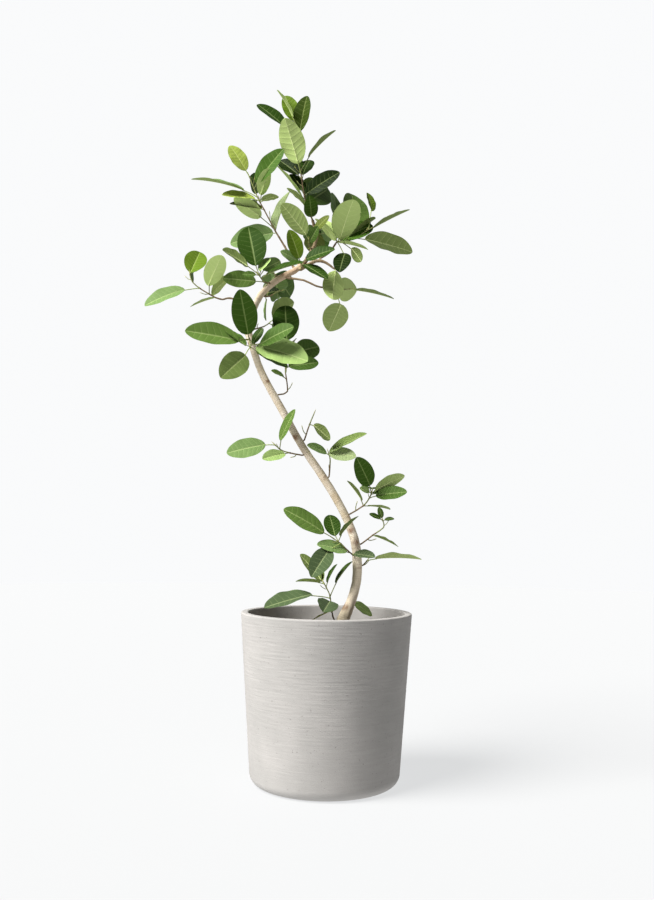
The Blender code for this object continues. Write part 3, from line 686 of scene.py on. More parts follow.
# Boughs are darker than the trunk: none of their length gets the painted light, and young is set past their
# ends
twig_bark = bark_finish(
    "bough_bark", srgb(150, 128, 98), srgb(116, 94, 68), srgb(78, 56, 40), srgb(104, 104, 64),
    foot=0.002, painted_light_reach=0.001, young=9.0,
)
for name, path in limbs.items():
    if name.startswith("bough"):
        line = started_inside(path, BOUGH_INSET, BOUGH_ROOT_WIDER)
        reach = run_of(line)[-1]
        rings = [reach * share for share in BOUGH_SCARS]
        scars = [(here, 0.8, 0.003, 90 * number) for number, here in enumerate(rings)]
        points, faces, marks = bark_shell(
            line, BOUGH_SIDES, BOUGH_STEP, rings, scars, BOUGH_WRINKLE, BOUGH_FLARE
        )
        bough = shown_piece(name + "_bark", points, faces, [twig_bark], sharp=60, marks=marks)
        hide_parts(name)


# The leaves grow in masses, each from one thin stem: oval leathery blades up to 126 mm long, pale veins in
# seven pairs, on stalks of 2 to 60 mm. Fresh growth is bright and thin, old leaves are dark and half glossy.

# Each mass of leaves: the limb and share of it that its stem leaves, the stem's points after that, its
# leaves, and the tone of each as a letter, which is the leaf's own colour with painted light and shade in
# it.
# A leaf is: share of the stem where it leaves, stalk in mm, clock hour that it points to in the front view,
# degrees that it leans to the viewer, length in mm, and degrees that its upper face is turned from the
# viewer, where 90 is edge on with that face up and 180 shows the underside. Unseen is how many leaves the
# rule adds on the far side, and the clock hour of the first.
MASSES = {
    "leaves_crown_top": dict(
        limb="bough_leader", share=1.0, unseen=(3, 7.0), tones_and_shade="epldmndnpodvby",
        stem=[(-0.060, 0.006, 1.280), (-0.070, 0.002, 1.338), (-0.075, 0, 1.373), (-0.075, 0, 1.437)],
        leaves=[
            (0.00, 5, 11.7, 62, 62, 5), (0.19, 18, 10.75, 5, 96, 93), (0.12, 12, 10.3, 28, 58, 110),
            (0.29, 14, 11.1, -30, 68, 40), (0.17, 15, 1.2, -46, 116, 5), (0.28, 8, 1.95, 10, 88, 38),
            (0.46, 17, 0.5, -35, 68, 30), (0.47, 16, 10.55, -30, 76, 38), (0.52, 26, 11.4, 15, 102, 170),
            (0.56, 38, 1.45, 0, 88, 100), (0.83, 60, 10.4, -10, 92, 62), (1.00, 5, 0.35, 10, 80, 35),
            (1.00, 30, 11.2, 0, 66, 10), (1.00, 40, 10.9, 6, 71, 100),
        ],
    ),
    "leaves_crown_centre": dict(
        limb="bough_leader", share=0.35, tones_and_shade="lmo",
        stem=[(-0.050, -0.014, 1.172), (-0.050, -0.024, 1.182)],
        leaves=[(1.0, 12, 10.6, 15, 86, 150), (0.6, 5, 1.2, 45, 45, 20), (1.0, 20, 1.6, 20, 50, 50)],
    ),
    "leaves_crown_back": dict(
        limb="bough_leader", share=0.60, unseen=(8, 3.5), tones_and_shade="",
        stem=[(-0.030, 0.050, 1.225), (-0.030, 0.095, 1.250), (-0.038, 0.145, 1.262)],
        leaves=[],
    ),
    "leaves_fork": dict(
        limb="trunk_upper", share=0.97, tones_and_shade="dldb",
        stem=[(-0.066, -0.024, 1.122), (-0.067, -0.038, 1.124)],
        leaves=[
            (0.9, 14, 4.3, 25, 72, 55), (0.9, 8, 9.8, 25, 46, 30), (1.0, 16, 2.4, 15, 68, 50),
            (1.0, 10, 11.3, 10, 66, 25),
        ],
    ),
    "leaves_right_high": dict(
        limb="bough_rising", share=1.0, unseen=(1, 11.0), tones_and_shade="wdnplhepdwogbo",
        stem=[(0.045, -0.010, 1.186), (0.085, -0.004, 1.212)],
        leaves=[
            (0.00, 5, 10.45, 10, 66, 105), (0.00, 10, 10.9, -20, 40, 60), (0.00, 50, 6.4, 40, 74, 15),
            (0.05, 8, 0.8, 56, 116, 170), (0.06, 14, 11.75, -15, 118, 62), (0.45, 25, 11.9, -25, 120, 30),
            (0.06, 6, 1.9, -15, 90, 40), (0.00, 5, 3.6, 15, 70, 95), (0.12, 34, 5.0, 30, 50, 160),
            (0.04, 12, 10.7, -28, 66, 140), (0.50, 25, 3.62, 10, 112, 130), (0.16, 18, 1.6, -20, 90, 105),
            (1.00, 50, 11.6, -15, 50, 55), (1.00, 12, 2.12, 0, 92, 92),
        ],
    ),
    "leaves_right_hanging": dict(
        limb="bough_right", share=1.0, tones_and_shade="p",
        stem=[(0.016, -0.016, 1.116)],
        leaves=[(0.1, 6, 6.15, 34, 94, 165)],
    ),
    "leaves_right_low": dict(
        limb="bough_low", share=1.0, tones_and_shade="plg",
        stem=[(0.020, -0.020, 1.069), (0.045, -0.016, 1.072)],
        leaves=[(0.35, 14, 2.0, -62, 100, 180), (0.40, 56, 7.1, -64, 114, 178), (1.0, 12, 3.5, 5, 88, 95)],
    ),
    "leaves_left_high": dict(
        limb="bough_left", share=1.0, unseen=(2, 3.0), tones_and_shade="lwwolylwey",
        stem=[(-0.132, 0.006, 1.219), (-0.154, 0, 1.259), (-0.168, 0, 1.285), (-0.188, 0, 1.334)],
        leaves=[
            (0.00, 8, 8.65, -14, 104, 30), (0.06, 5, 0.55, -16, 108, 75), (0.08, 42, 10.1, 5, 74, 165),
            (0.42, 6, 9.45, -10, 78, 70), (0.55, 5, 2.8, 30, 46, 130), (0.58, 10, 9.1, 10, 75, 70),
            (0.64, 36, 9.45, 0, 122, 88), (0.55, 17, 0.6, 10, 62, 150), (0.78, 15, 1.3, 10, 96, 42),
            (1.00, 16, 10.9, 5, 68, 25),
        ],
    ),
    "leaves_middle_left": dict(
        limb="trunk_upper", share=0.60, tones_and_shade="dkldhom",
        stem=[(-0.146, -0.035, 1.080), (-0.158, -0.052, 1.092)],
        leaves=[
            (1.00, 22, 11.6, -22, 116, 5), (0.95, 10, 0.9, -25, 46, 45), (0.90, 18, 1.6, -38, 60, 10),
            (0.75, 16, 2.6, 20, 90, 80), (0.40, 24, 9.0, 15, 72, 25), (1.00, 32, 10.2, -20, 78, 120),
            (0.95, 8, 8.8, 20, 30, 40),
        ],
    ),
    "leaves_middle_back": dict(
        limb="trunk_upper", share=0.66, unseen=(7, 7.0), tones_and_shade="",
        stem=[(-0.125, 0.040, 1.115), (-0.134, 0.080, 1.132), (-0.132, 0.120, 1.138)],
        leaves=[],
    ),
    "leaves_far_left": dict(
        limb="bough_far_left", share=1.0, unseen=(1, 11.5), tones_and_shade="lpwlb",
        stem=[(-0.284, -0.026, 1.063), (-0.306, -0.028, 1.080), (-0.312, -0.028, 1.098)],
        leaves=[
            (0.0, 4, 8.1, 20, 58, 95), (0.16, 4, 1.1, -35, 70, 130), (0.22, 20, 1.15, 44, 86, 170),
            (0.50, 34, 8.15, 10, 95, 55), (1.0, 6, 0.35, -40, 90, 10),
        ],
    ),
    "leaves_bend_left": dict(
        limb="trunk_lower", share=0.985, tones_and_shade="ehmpmkmd",
        stem=[(-0.177, -0.040, 0.954), (-0.172, -0.060, 0.929)],
        leaves=[
            (0.5, 22, 11.7, 41, 106, 5), (0.45, 24, 9.25, 12, 118, 42), (1.0, 10, 10.2, -15, 68, 65),
            (1.0, 34, 7.15, 46, 106, 5), (0.9, 28, 2.2, 25, 88, 52), (0.6, 24, 3.65, 20, 126, 40),
            (1.0, 18, 3.8, -10, 75, 62), (0.9, 8, 1.1, 8, 40, 40),
        ],
    ),
    "leaves_bend_right": dict(
        limb="trunk_upper", share=0.10, unseen=(1, 3.5), tones_and_shade="l",
        stem=[(-0.150, 0.010, 0.990), (-0.139, 0.032, 1.003)],
        leaves=[(1.0, 24, 1.2, -46, 108, 150)],
    ),
    "leaves_under_trunk": dict(
        limb="trunk_upper", share=0.48, tones_and_shade="nl",
        stem=[(-0.138, 0.012, 1.060), (-0.122, 0.020, 1.072), (-0.112, 0.028, 1.078)],
        leaves=[(1.0, 6, 8.8, -20, 55, 50), (0.15, 6, 6.0, 10, 52, 80)],
    ),
    "leaves_trunk_side": dict(
        limb="trunk_lower", share=0.80, unseen=(1, 0.5), tones_and_shade="hmmd",
        stem=[(-0.092, -0.006, 0.842), (-0.098, -0.004, 0.885), (-0.096, -0.010, 0.938)],
        leaves=[
            (0.44, 8, 9.8, 20, 32, 60), (0.64, 8, 2.6, -20, 72, 30), (0.78, 30, 2.1, -45, 90, 10),
            (1.0, 22, 11.85, -32, 114, 5),
        ],
    ),
    "leaves_mid_left": dict(
        limb="trunk_lower", share=0.600, tones_and_shade="lkh",
        stem=[(-0.085, -0.024, 0.704), (-0.104, -0.026, 0.710), (-0.117, -0.028, 0.721)],
        leaves=[(1.0, 22, 8.5, 10, 86, 28), (0.45, 13, 8.4, 38, 60, 40), (0.80, 19, 0.9, 15, 76, 60)],
    ),
    "leaves_mid_right": dict(
        limb="trunk_lower", share=0.637, tones_and_shade="m",
        stem=[(-0.043, -0.010, 0.767), (-0.033, -0.008, 0.793)],
        leaves=[(0.6, 10, 4.4, 25, 56, 140)],
    ),
    "leaves_mid_low": dict(
        limb="trunk_lower", share=0.50, tones_and_shade="pwl",
        stem=[(0.004, -0.012, 0.690), (0.000, -0.014, 0.706)],
        leaves=[(1.0, 2, 2.1, 5, 92, 70), (1.0, 2, 3.3, 25, 64, 30), (0.9, 8, 9.6, 25, 50, 50)],
    ),
    "leaves_low_right": dict(
        limb="trunk_lower", share=0.37, unseen=(1, 0.5), tones_and_shade="lmkmlke",
        stem=[(0.079, 0.008, 0.592), (0.092, 0.006, 0.610), (0.096, 0.005, 0.620)],
        leaves=[
            (0.50, 12, 3.2, -22, 55, 95), (0.52, 12, 10.7, 5, 55, 100), (0.98, 8, 9.5, 40, 30, 30),
            (0.82, 16, 2.8, 15, 70, 42), (0.95, 5, 2.8, -15, 74, 62), (1.0, 11, 2.05, -10, 75, 130),
            (1.0, 20, 11.05, 38, 82, 10),
        ],
    ),
    "leaves_low_outer": dict(
        limb="trunk_lower", share=0.275, tones_and_shade="mddl",
        stem=[(0.102, 0.010, 0.529), (0.124, 0.010, 0.545), (0.121, 0.008, 0.561)],
        leaves=[
            (1.0, 6, 11.4, 10, 25, 20), (1.0, 5, 2.9, 20, 22, 40), (1.0, 6, 9.8, 10, 28, 50),
            (0.42, 4, 3.75, 10, 58, 95),
        ],
    ),
    "leaves_low_long": dict(
        limb="trunk_lower", share=0.212, tones_and_shade="p",
        stem=[(0.088, 0.012, 0.472)],
        leaves=[(1.0, 19, 2.95, 5, 102, 98)],
    ),
    "leaves_low_left": dict(
        limb="trunk_lower", share=0.245, tones_and_shade="hdlmgg",
        stem=[(0.046, -0.014, 0.492), (0.030, -0.022, 0.508), (0.012, -0.024, 0.520)],
        leaves=[
            (1.0, 24, 10.0, 10, 102, 45), (0.8, 16, 11.5, -42, 66, 10), (0.36, 3, 9.35, 28, 74, 50),
            (0.8, 14, 1.4, 15, 60, 100), (0.12, 6, 3.2, 30, 52, 50), (0.7, 33, 7.1, 38, 86, 8),
        ],
    ),
    "leaves_foot_shoot": dict(
        limb="trunk_lower", share=0.03, tones_and_shade="gdopdmgp",
        stem=[
            (0.014, -0.004, 0.350), (0.010, -0.006, 0.375), (0.006, -0.008, 0.399), (-0.006, -0.010, 0.422),
        ],
        leaves=[
            (0.60, 42, 8.5, 15, 108, 60), (1.0, 12, 10.6, -25, 78, 130), (1.0, 8, 11.0, -35, 56, 140),
            (1.0, 10, 9.1, 15, 55, 100), (0.9, 10, 0.9, -10, 46, 75), (0.64, 32, 1.2, -5, 60, 78),
            (0.50, 12, 7.4, 77, 88, 10), (0.3, 4, 8.1, 25, 55, 90),
        ],
    ),
    "leaves_foot_right": dict(
        limb="trunk_lower", share=0.10, tones_and_shade="k",
        stem=[(0.057, 0.034, 0.380)],
        leaves=[(1.0, 6, 4.15, -15, 52, 48)],
    ),
}
# The seed of a mass is its place in the table, and most masses have no unseen leaves
for number, mass in enumerate(MASSES.values(), 1):
    mass["seed"] = number
    mass.setdefault("unseen", (0, 0))
SEED = 11
LEAF_WIDTH = 0.54
LEAF_ARCH = 0.02
LEAF_FOLD = 0.16
WIDTH_VARIES = 0.06
CURVE_VARIES = 0.5
PETIOLE_FORWARD = 0.5
STEM_RADIUS = 0.0019
STEM_TIP_RADIUS = 0.0013
STEM_TO_LIMB = 0.92
ROOT_FROM_LIMB = 0.003
ROOT_FROM_TIP = 0.0015
STEM_STEP = 0.03
UNSEEN_PETIOLE = 20
UNSEEN_LEAN = (66, 84)
UNSEEN_LENGTH = (75, 105)
UNSEEN_FACING = (0, 40)
UNSEEN_SPREAD = 0.8
GOLDEN_TURN = 0.382
VIEWER_EYE = np.array([0.0, -2.0, 0.54])

# A blade: its outline, veins and relief, in metres or as shares of its length or half width
OUTLINE_SKEW = 0.96
OUTLINE_FULLNESS = 0.51
TIP_SPAN = 0.16
TIP_DRAWN_IN = 0.05
TIP_POINT = 0.008
TIP_BEND = (-0.05, 0.015)
TWIST_DEGREES = 14
MARGIN_WAVE = 0.011
MARGIN_WAVE_VARIES = (0.4, 1.3)
MARGIN_WAVE_COUNT = (1.6, 3.2)
COLUMN_SHARES = (0.0, 0.05, 0.22, 0.40, 0.58, 0.75, 0.89, 1.0)
VEINS = (0.06, 0.18, 0.31, 0.44, 0.57, 0.70, 0.82)
VEIN_HALF = 0.00034
VEIN_RISE = 0.20
VEIN_RIDGE = 0.00016
MIDRIB_HALF = 0.00055
MIDRIB_RIDGE = 0.0013
UNDER_RIB_WIDER = 1.7
FOLD_DEEPER = 1.3
BLADE_HALF_THICKNESS = 0.0003
QUILT = 0.0001

# Leaf tones: the upper face of a leaf as a screen colour, and how pale its underside is, from 0 to 1. A tone
# is the leaf's own colour with painted light and shade in it: the darkest tones paint shade on leaves that
# lie in shade, and paler ones paint light on some shaded leaves. Midribs are paler than their face by one
# rule.
LEAF_TONES_AND_SHADE = {
    "n": ((22, 38, 6), 0.0),
    "d": ((42, 66, 18), 0.1),
    "v": ((50, 68, 14), 0.15),
    "e": ((62, 92, 28), 0.15),
    "g": ((70, 86, 56), 0.3),
    "m": ((70, 96, 40), 0.2),
    "o": ((82, 94, 34), 0.32),
    "h": ((88, 114, 52), 0.36),
    "b": ((98, 124, 36), 0.43),
    "l": ((108, 134, 78), 0.55),
    "p": ((108, 128, 68), 0.82),
    "k": ((146, 172, 102), 0.74),
    "w": ((140, 156, 108), 1.0),
    "y": ((158, 176, 80), 0.75),
}
UNDERSIDE_DARK, UNDERSIDE_PALE = (78, 92, 46), (198, 220, 138)
RIB_PALE, RIB_SHARE, UNDER_RIB_SHARE = (250, 255, 190), 0.36, 0.55
LATERAL_SHARE = 0.58
# The unseen leaves' tones are pale: painted light on leaves that lie in shade at the back
UNSEEN_TONES_AND_SHADE = "ehmolh"
LEAF_GLOSS = 0.04
# Roughness of a side's face, side veins and midrib
UPPER_ROUGH, UNDER_ROUGH = (0.5, 0.5, 0.55), (0.65, 0.65, 0.65)


def stem_path(mass):
    """A mass's stem, tapering to its tip."""
    parent = limbs[mass["limb"]]
    first = min(STEM_RADIUS, STEM_TO_LIMB * place_on(parent, mass["share"])[1])
    radii = np.linspace(first, STEM_TIP_RADIUS, len(mass["stem"]) + 1)[1:]
    points = [(*place, radius) for place, radius in zip(mass["stem"], radii)]
    return rooted_path(parent, mass["share"], points, first, STEM_STEP)


def unseen_leaves(mass):
    """Leaves on the far side, by a seeded rule: they lean away, each turned on by the golden angle."""
    rng = np.random.default_rng([SEED, mass["seed"]])
    count, first_hour = mass["unseen"]
    rows = []
    for k in range(count):
        share = 1.0 - UNSEEN_SPREAD * k / count
        hour = (first_hour + k * 12 * GOLDEN_TURN) % 12
        lean = -rng.uniform(*UNSEEN_LEAN)
        length = rng.uniform(*UNSEEN_LENGTH)
        rows.append((share, UNSEEN_PETIOLE, hour, lean, length, rng.uniform(*UNSEEN_FACING)))
    return rows


def grow_leaves(mass, stem):
    """Every leaf of a mass: where it leaves the stem, its base, its axes and its sizes in metres."""
    grown = []
    dealt = [(mass["seed"] + 5 * k) % len(UNSEEN_TONES_AND_SHADE) for k in range(mass["unseen"][0])]
    tones_and_shade = mass["tones_and_shade"] + "".join(UNSEEN_TONES_AND_SHADE[place] for place in dealt)
    for number, (row, tone_and_shade) in enumerate(zip(mass["leaves"] + unseen_leaves(mass), tones_and_shade)):
        share, petiole, hour, lean, length, facing = row
        vary = np.random.default_rng([SEED, mass["seed"], number]).uniform(-1, 1, 3)
        turn, lean, facing = math.radians(30 * hour), math.radians(lean), math.radians(facing)
        along = np.array([math.sin(turn) * math.cos(lean), -math.sin(lean), math.cos(turn) * math.cos(lean)])
        stem_length = run_of(stem)[-1]
        share = min(max(share, ROOT_FROM_LIMB / stem_length), 1 - ROOT_FROM_TIP / stem_length)
        root, _, direction = place_on(stem, share)
        sight = unit(VIEWER_EYE - root)
        front = unit(sight - along * (sight @ along))
        upward = np.cross(front, along)
        upward = upward if upward[2] >= 0 else -upward
        length = length / 1000
        grown.append(dict(
            root=root,
            share=share,
            base=root + unit(along + PETIOLE_FORWARD * direction) * petiole / 1000,
            along=along,
            normal=math.cos(facing) * front + math.sin(facing) * upward,
            length=length,
            width=length * LEAF_WIDTH * (1 + WIDTH_VARIES * vary[0]),
            arch=LEAF_ARCH * (1 + CURVE_VARIES * vary[1]),
            fold=LEAF_FOLD * (1 + CURVE_VARIES * vary[2]),
            seed=[SEED, mass["seed"], number, 7],
            tone_and_shade=tone_and_shade,
        ))
    return grown


def leaf_width(t):
    """Half the blade's width at share t of its length, 1 where it is widest: a sine made fuller by a power,
    and drawn in over the tip by a smooth step.
    """
    oval = np.sin(math.pi * np.clip(t, 0, 1) ** OUTLINE_SKEW) ** OUTLINE_FULLNESS
    tip = np.clip((t - (1 - TIP_SPAN)) / TIP_SPAN, 0, 1)
    return oval * (1 - TIP_DRAWN_IN * tip * tip * (3 - 2 * tip))


def blade_rows():
    """Rows of the blade as (share of the midrib, vein edge -1 to 1, sunk as a vein, raised as a panel)."""
    rows = [(0.004, 0, 0, 0), (0.022, 0, 0, 0.3)]
    for place, following in zip(VEINS, VEINS[1:] + (0.91,)):
        rows += [(place, -1, 0.35, 0), (place, 0, 1, 0), (place, 1, 0.35, 0)]
        rows += [(place + (following - place) * part, 0, 0, 1) for part in (0.34, 0.66)]
    return np.array(rows + [(0.925, 0, 0, 0.5), (0.962, 0, 0, 0.2), (0.986, 0, 0, 0.1), (0.996, 0, 0, 0)])


def blade_columns():
    """A ring round the blade: each point's signed share of the half width, its side of the midrib, and 1 on
    top, 0 at the margins or -1 below. The ring runs over the top from margin to margin and back below.
    """
    out = np.array(COLUMN_SHARES)
    half = np.ones(len(out))
    top = np.concatenate([-out[::-1], [0.0], out])
    sides = np.concatenate([-half, [0.0], half])
    upper = np.concatenate([[0.0], np.ones(len(top) - 2), [0.0]])
    rows = ((top, 1), (sides, 1), (upper, -1))
    return [np.concatenate([over, sign * over[-2:0:-1]]) for over, sign in rows]


BLADE_ROWS = blade_rows()
BLADE_COLUMNS = blade_columns()


def blade_slots():
    """Which colour each face of a blade takes: 0 upper face, 1 its side veins, 2 its midrib, 3 underside, 4
    the underside's side veins, 5 the underside's midrib. The fans at its base and tip come last.
    """
    half, sunk = len(COLUMN_SHARES), BLADE_ROWS[:, 2]
    column = np.arange(4 * half)
    vein_row = ((sunk[:-1] > 0) & (sunk[1:] > 0))[:, None]
    midrib = np.isin(column % (2 * half), (half - 1, half))
    beside = np.isin(column, (half - 2, half + 1))
    lateral = ~np.isin(column % half, (0, half - 1))
    part = np.where(midrib, 2, np.where(vein_row & lateral | beside, 1, 0))
    side = np.where(column < 2 * half, 0, 3)
    return np.concatenate([(part + side).ravel(), np.roll(side[::-1], -1), side])


BLADE_SLOTS = blade_slots()


def blade_shell(leaf):
    """A closed blade. Its rows follow the side veins, which rise from the midrib to the margin. Its height
    is the arch along and the fold across, plus panels that bulge between sunk veins, a waved margin and a
    bend of the tip, all with a slight twist. The underside carries the veins as ridges, highest along the
    midrib.
    """
    rng = np.random.default_rng(leaf["seed"])
    place, edge, sunk, raised = (BLADE_ROWS[:, k, None] for k in range(4))
    share, side_of, upper = BLADE_COLUMNS
    out = np.abs(share)
    length = leaf["length"]
    s = place + edge * VEIN_HALF / length * (1 - 0.6 * out)
    t = s + VEIN_RISE * (1 - np.exp(-s / 0.07)) * (1 - s) ** 0.9 * out**1.1
    half = leaf["width"] / 2 * leaf_width(t)
    rib = MIDRIB_HALF * np.where(upper < 0, UNDER_RIB_WIDER, 1) * (1.1 - 0.75 * t)
    rib = np.minimum(rib, 0.3 * half)
    x = side_of * rib + (half - rib) * share
    reach = np.abs(x) / np.maximum(half, 1e-9)
    rise = leaf["arch"] * length * 4 * t * (1 - t)
    rise += FOLD_DEEPER * leaf["fold"] * half * (np.sqrt(reach**2 + 0.004) - 0.063)
    rise += QUILT * raised * 2 * np.sqrt(out * (1 - out))
    phase, pitch = rng.uniform(0, 2 * math.pi, 2), rng.uniform(*MARGIN_WAVE_COUNT, 2)
    margin = np.where(share > 0, 0, 1)
    wave = np.sin(2 * math.pi * pitch[margin] * t + phase[margin])
    strength = rng.uniform(*MARGIN_WAVE_VARIES)
    rise += MARGIN_WAVE * length * strength * reach**2.5 * wave * np.sin(math.pi * t)
    rise += length * rng.uniform(*TIP_BEND) * t**2
    thick = BLADE_HALF_THICKNESS * (1 - out**3)
    ridge = VEIN_RIDGE * sunk * (1 - 0.7 * out)
    ridge = ridge + MIDRIB_RIDGE * (1.1 - t) * (out == 0) * (1 - 0.55 * np.abs(side_of))
    rise += np.where(upper > 0, thick - 0.5 * ridge, np.where(upper < 0, -thick - ridge, 0.0))
    turn = math.radians(rng.uniform(-TWIST_DEGREES, TWIST_DEGREES)) * (t - 0.35)
    side = np.cross(leaf["along"], leaf["normal"])
    across = x * np.cos(turn) - rise * np.sin(turn)
    up = x * np.sin(turn) + rise * np.cos(turn)
    ring = leaf["base"] + t[..., None] * length * leaf["along"] + across[..., None] * side
    ring += up[..., None] * leaf["normal"]
    tip = ring[-1].mean(0) + leaf["along"] * length * TIP_POINT
    return shell_of_rings(capped(ring, leaf["base"], tip))


def mixed(first, second, share):
    """A colour that is share of the way from the first one to the second."""
    return tuple((1 - share) * a + share * b for a, b in zip(first, second))


def leaf_finishes(letter):
    """The six colours of a tone: each side's face, its side veins and its midrib. The upper side is a little
    glossier than the underside.
    """
    face, paleness = LEAF_TONES_AND_SHADE[letter]
    underside = mixed(UNDERSIDE_DARK, UNDERSIDE_PALE, paleness)
    looks = (("upper", face, RIB_SHARE, UPPER_ROUGH), ("underside", underside, UNDER_RIB_SHARE, UNDER_ROUGH))
    made = []
    for side, shown, rib_share, roughs in looks:
        plain, midrib = srgb(*shown), srgb(*mixed(shown, RIB_PALE, rib_share))
        parts = {"": plain, "_veins": mixed(plain, midrib, LATERAL_SHARE), "_midrib": midrib}
        for (part, shade), rough in zip(parts.items(), roughs):
            name = f"leaf_{letter}_{side}{part}"
            made.append(new_finish(name, shade, rough, Specular_IOR_Level=LEAF_GLOSS))
    return made


leaf_palette = {letter: leaf_finishes(letter) for letter in LEAF_TONES_AND_SHADE}
stems = {name: stem_path(mass) for name, mass in MASSES.items()}
foliage = {name: grow_leaves(mass, stems[name]) for name, mass in MASSES.items()}
for name, leaves in foliage.items():
    used = sorted({leaf["tone_and_shade"] for leaf in leaves})
    shells = [(*blade_shell(leaf), BLADE_SLOTS + 6 * used.index(leaf["tone_and_shade"])) for leaf in leaves]
    points, faces, slots = joined(shells)
    finishes = sum((leaf_palette[letter] for letter in used), [])
    blades = shown_piece(name + "_blades", points, faces, finishes, slots)
    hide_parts(name)


# Each mass's stem is a green-brown twig with swollen nodes and the scars of fallen leaves. Stalks leave it
# at the nodes, short side shoots end in pointed buds, and its own tip is a sheathed bud.

TWIG_SIDES = 14
TWIG_STEP = 0.0011
TWIG_INSET = 0.0035
NODE_HALF = 0.0022
# Fine lines along a twig: how far they rise, and how far the stem runs while they turn on by a radian
LINE_RISE, LINE_RUN = 0.00006, 0.004
# How far from a node its scar begins and ends, and the share of the stem that is brown
SCAR_BAND = (0.0012, 0.0024)
BROWN_SHARE = 0.55
STALK_SIDES = 10
STALK_STEP = 0.0022
STALK_RADIUS = 0.00105
STALK_BOW = 0.05
# How far a stalk runs on under its blade, and how far below the midrib
STALK_UNDER_BLADE, STALK_BELOW = 0.006, 0.0004
PALE_STALK_TONES = "lybpg"
SHOOT_SPACING = 0.045
SHOOT_SPAN = (0.25, 0.85)
SHOOT_REACH = (0.006, 0.014)
SHOOT_BUD, TIP_BUD = 0.0055, 0.011
TWIG_BROWN, TWIG_GREEN, TWIG_SCAR, BUD_SKIN, STALK_LIGHT, STALK_DARK = range(6)


def swept_shell(centres, radius, sides, end_rise=0.0003):
    """A closed tube whose end point stands end_rise ahead of its last ring."""
    rings = tube_rings(centres, radius, sides)
    ahead = unit(centres[-1] - centres[-2])
    return shell_of_rings(capped(rings, centres[0], centres[-1] + ahead * end_rise))


def stem_shell(stem, nodes):
    """The stem's tube, finely lined, brown below and green above, with a swelling and scar at each node."""
    even, run = evenly(started_inside(stem, TWIG_INSET), TWIG_STEP)
    places = np.array(nodes) * run_of(stem)[-1] + TWIG_INSET
    near = np.abs(run[:, None] - places).min(1)
    lines = LINE_RISE * np.sin(3 * round_angles(TWIG_SIDES) + run[:, None] / LINE_RUN)
    radius = even[:, 3:] * (0.9 + 0.22 * np.exp(-((near / NODE_HALF) ** 2)))[:, None] + lines
    points, faces = swept_shell(even[:, :3], radius, TWIG_SIDES, 0.0008)
    bark = np.where(run / run[-1] < BROWN_SHARE, TWIG_BROWN, TWIG_GREEN)
    bark = np.where((near > SCAR_BAND[0]) & (near < SCAR_BAND[1]), TWIG_SCAR, bark)
    ends = np.full(2 * TWIG_SIDES, bark[-1])
    return points, faces, np.concatenate([np.repeat(bark[:-1], TWIG_SIDES), ends])


def stalk_shell(leaf):
    """A stalk from inside the stem to under the blade's midrib, bowed a little and thicker at both ends."""
    root = leaf["root"]
    end = leaf["base"] + leaf["along"] * STALK_UNDER_BLADE - leaf["normal"] * STALK_BELOW
    count = max(8, round(np.linalg.norm(end - root) / STALK_STEP))
    t = np.linspace(0, 1, count)[:, None]
    bow = np.array([0.0, 0.0, STALK_BOW * np.linalg.norm(leaf["base"] - root)])
    centres = root + (end - root) * t + bow * 4 * t * (1 - t) * (1 - t)
    radius = STALK_RADIUS * (1 + 0.45 * np.exp(-t / 0.08) + 0.2 * np.exp(-(((t - 0.93) / 0.08) ** 2)))
    radius = radius * np.clip((1.04 - t) / 0.1, 0.3, 1)
    skin = STALK_LIGHT if leaf["tone_and_shade"] in PALE_STALK_TONES else STALK_DARK
    return (*swept_shell(centres, radius, STALK_SIDES, 0.0006), skin)


def bud_shell(start, ahead, length, radius):
    """A sheathed bud: a cone drawn in below and drawn out to a point."""
    t = np.linspace(0, 1, 12)[:, None]
    width = radius * (0.75 + 0.45 * np.sin(math.pi * np.minimum(t / 0.5, 1) / 2))
    width = width * np.clip(1 - t, 0.02, 1) ** 0.8
    return (*swept_shell(start + ahead * length * t, width, STALK_SIDES), BUD_SKIN)


def side_shoots(mass, stem):
    """Short shoots by a seeded rule: each leaves the stem at a steep angle, curves up and ends in a bud."""
    rng = np.random.default_rng([SEED, mass["seed"], 99])
    shells = []
    for share in np.linspace(*SHOOT_SPAN, max(1, round(run_of(stem)[-1] / SHOOT_SPACING))):
        root, radius, direction = place_on(stem, share)
        out = unit(np.cross(direction, rng.normal(size=3)))
        reach = rng.uniform(*SHOOT_REACH)
        t = np.linspace(0, 1, 9)[:, None]
        centres = root + out * reach * t + (direction + (0, 0, 0.4)) * reach * 0.7 * t * t
        width = radius * (0.62 - 0.12 * t) * (1 + 0.12 * np.sin(14 * t))
        shells.append((*swept_shell(centres, width, STALK_SIDES), TWIG_GREEN))
        ahead = unit(centres[-1] - centres[-2])
        shells.append(bud_shell(centres[-1], ahead, SHOOT_BUD, width[-1, 0] * 1.15))
    return shells


twig_palette = [
    new_finish("twig_brown", srgb(118, 98, 68), 0.75),
    new_finish("twig_green", srgb(128, 134, 76), 0.6),
    new_finish("twig_scar", srgb(82, 62, 44), 0.85),
    new_finish("bud_skin", srgb(176, 172, 96), 0.5),
    new_finish("stalk_light", srgb(150, 166, 92), 0.5),
    new_finish("stalk_dark", srgb(110, 118, 62), 0.55),
]
for name, mass in MASSES.items():
    stem, leaves = stems[name], foliage[name]
    shells = [stem_shell(stem, [leaf["share"] for leaf in leaves])]
    shells += [stalk_shell(leaf) for leaf in leaves]
    shells += side_shoots(mass, stem)
    ahead = unit(stem[-1, :3] - stem[-2, :3])
    shells.append(bud_shell(stem[-1, :3], ahead, TIP_BUD, stem[-1, 3] * 0.95))
    points, faces, slots = joined(shells)
    twigs = shown_piece(name + "_twigs", points, faces, twig_palette, slots)
    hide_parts(name)


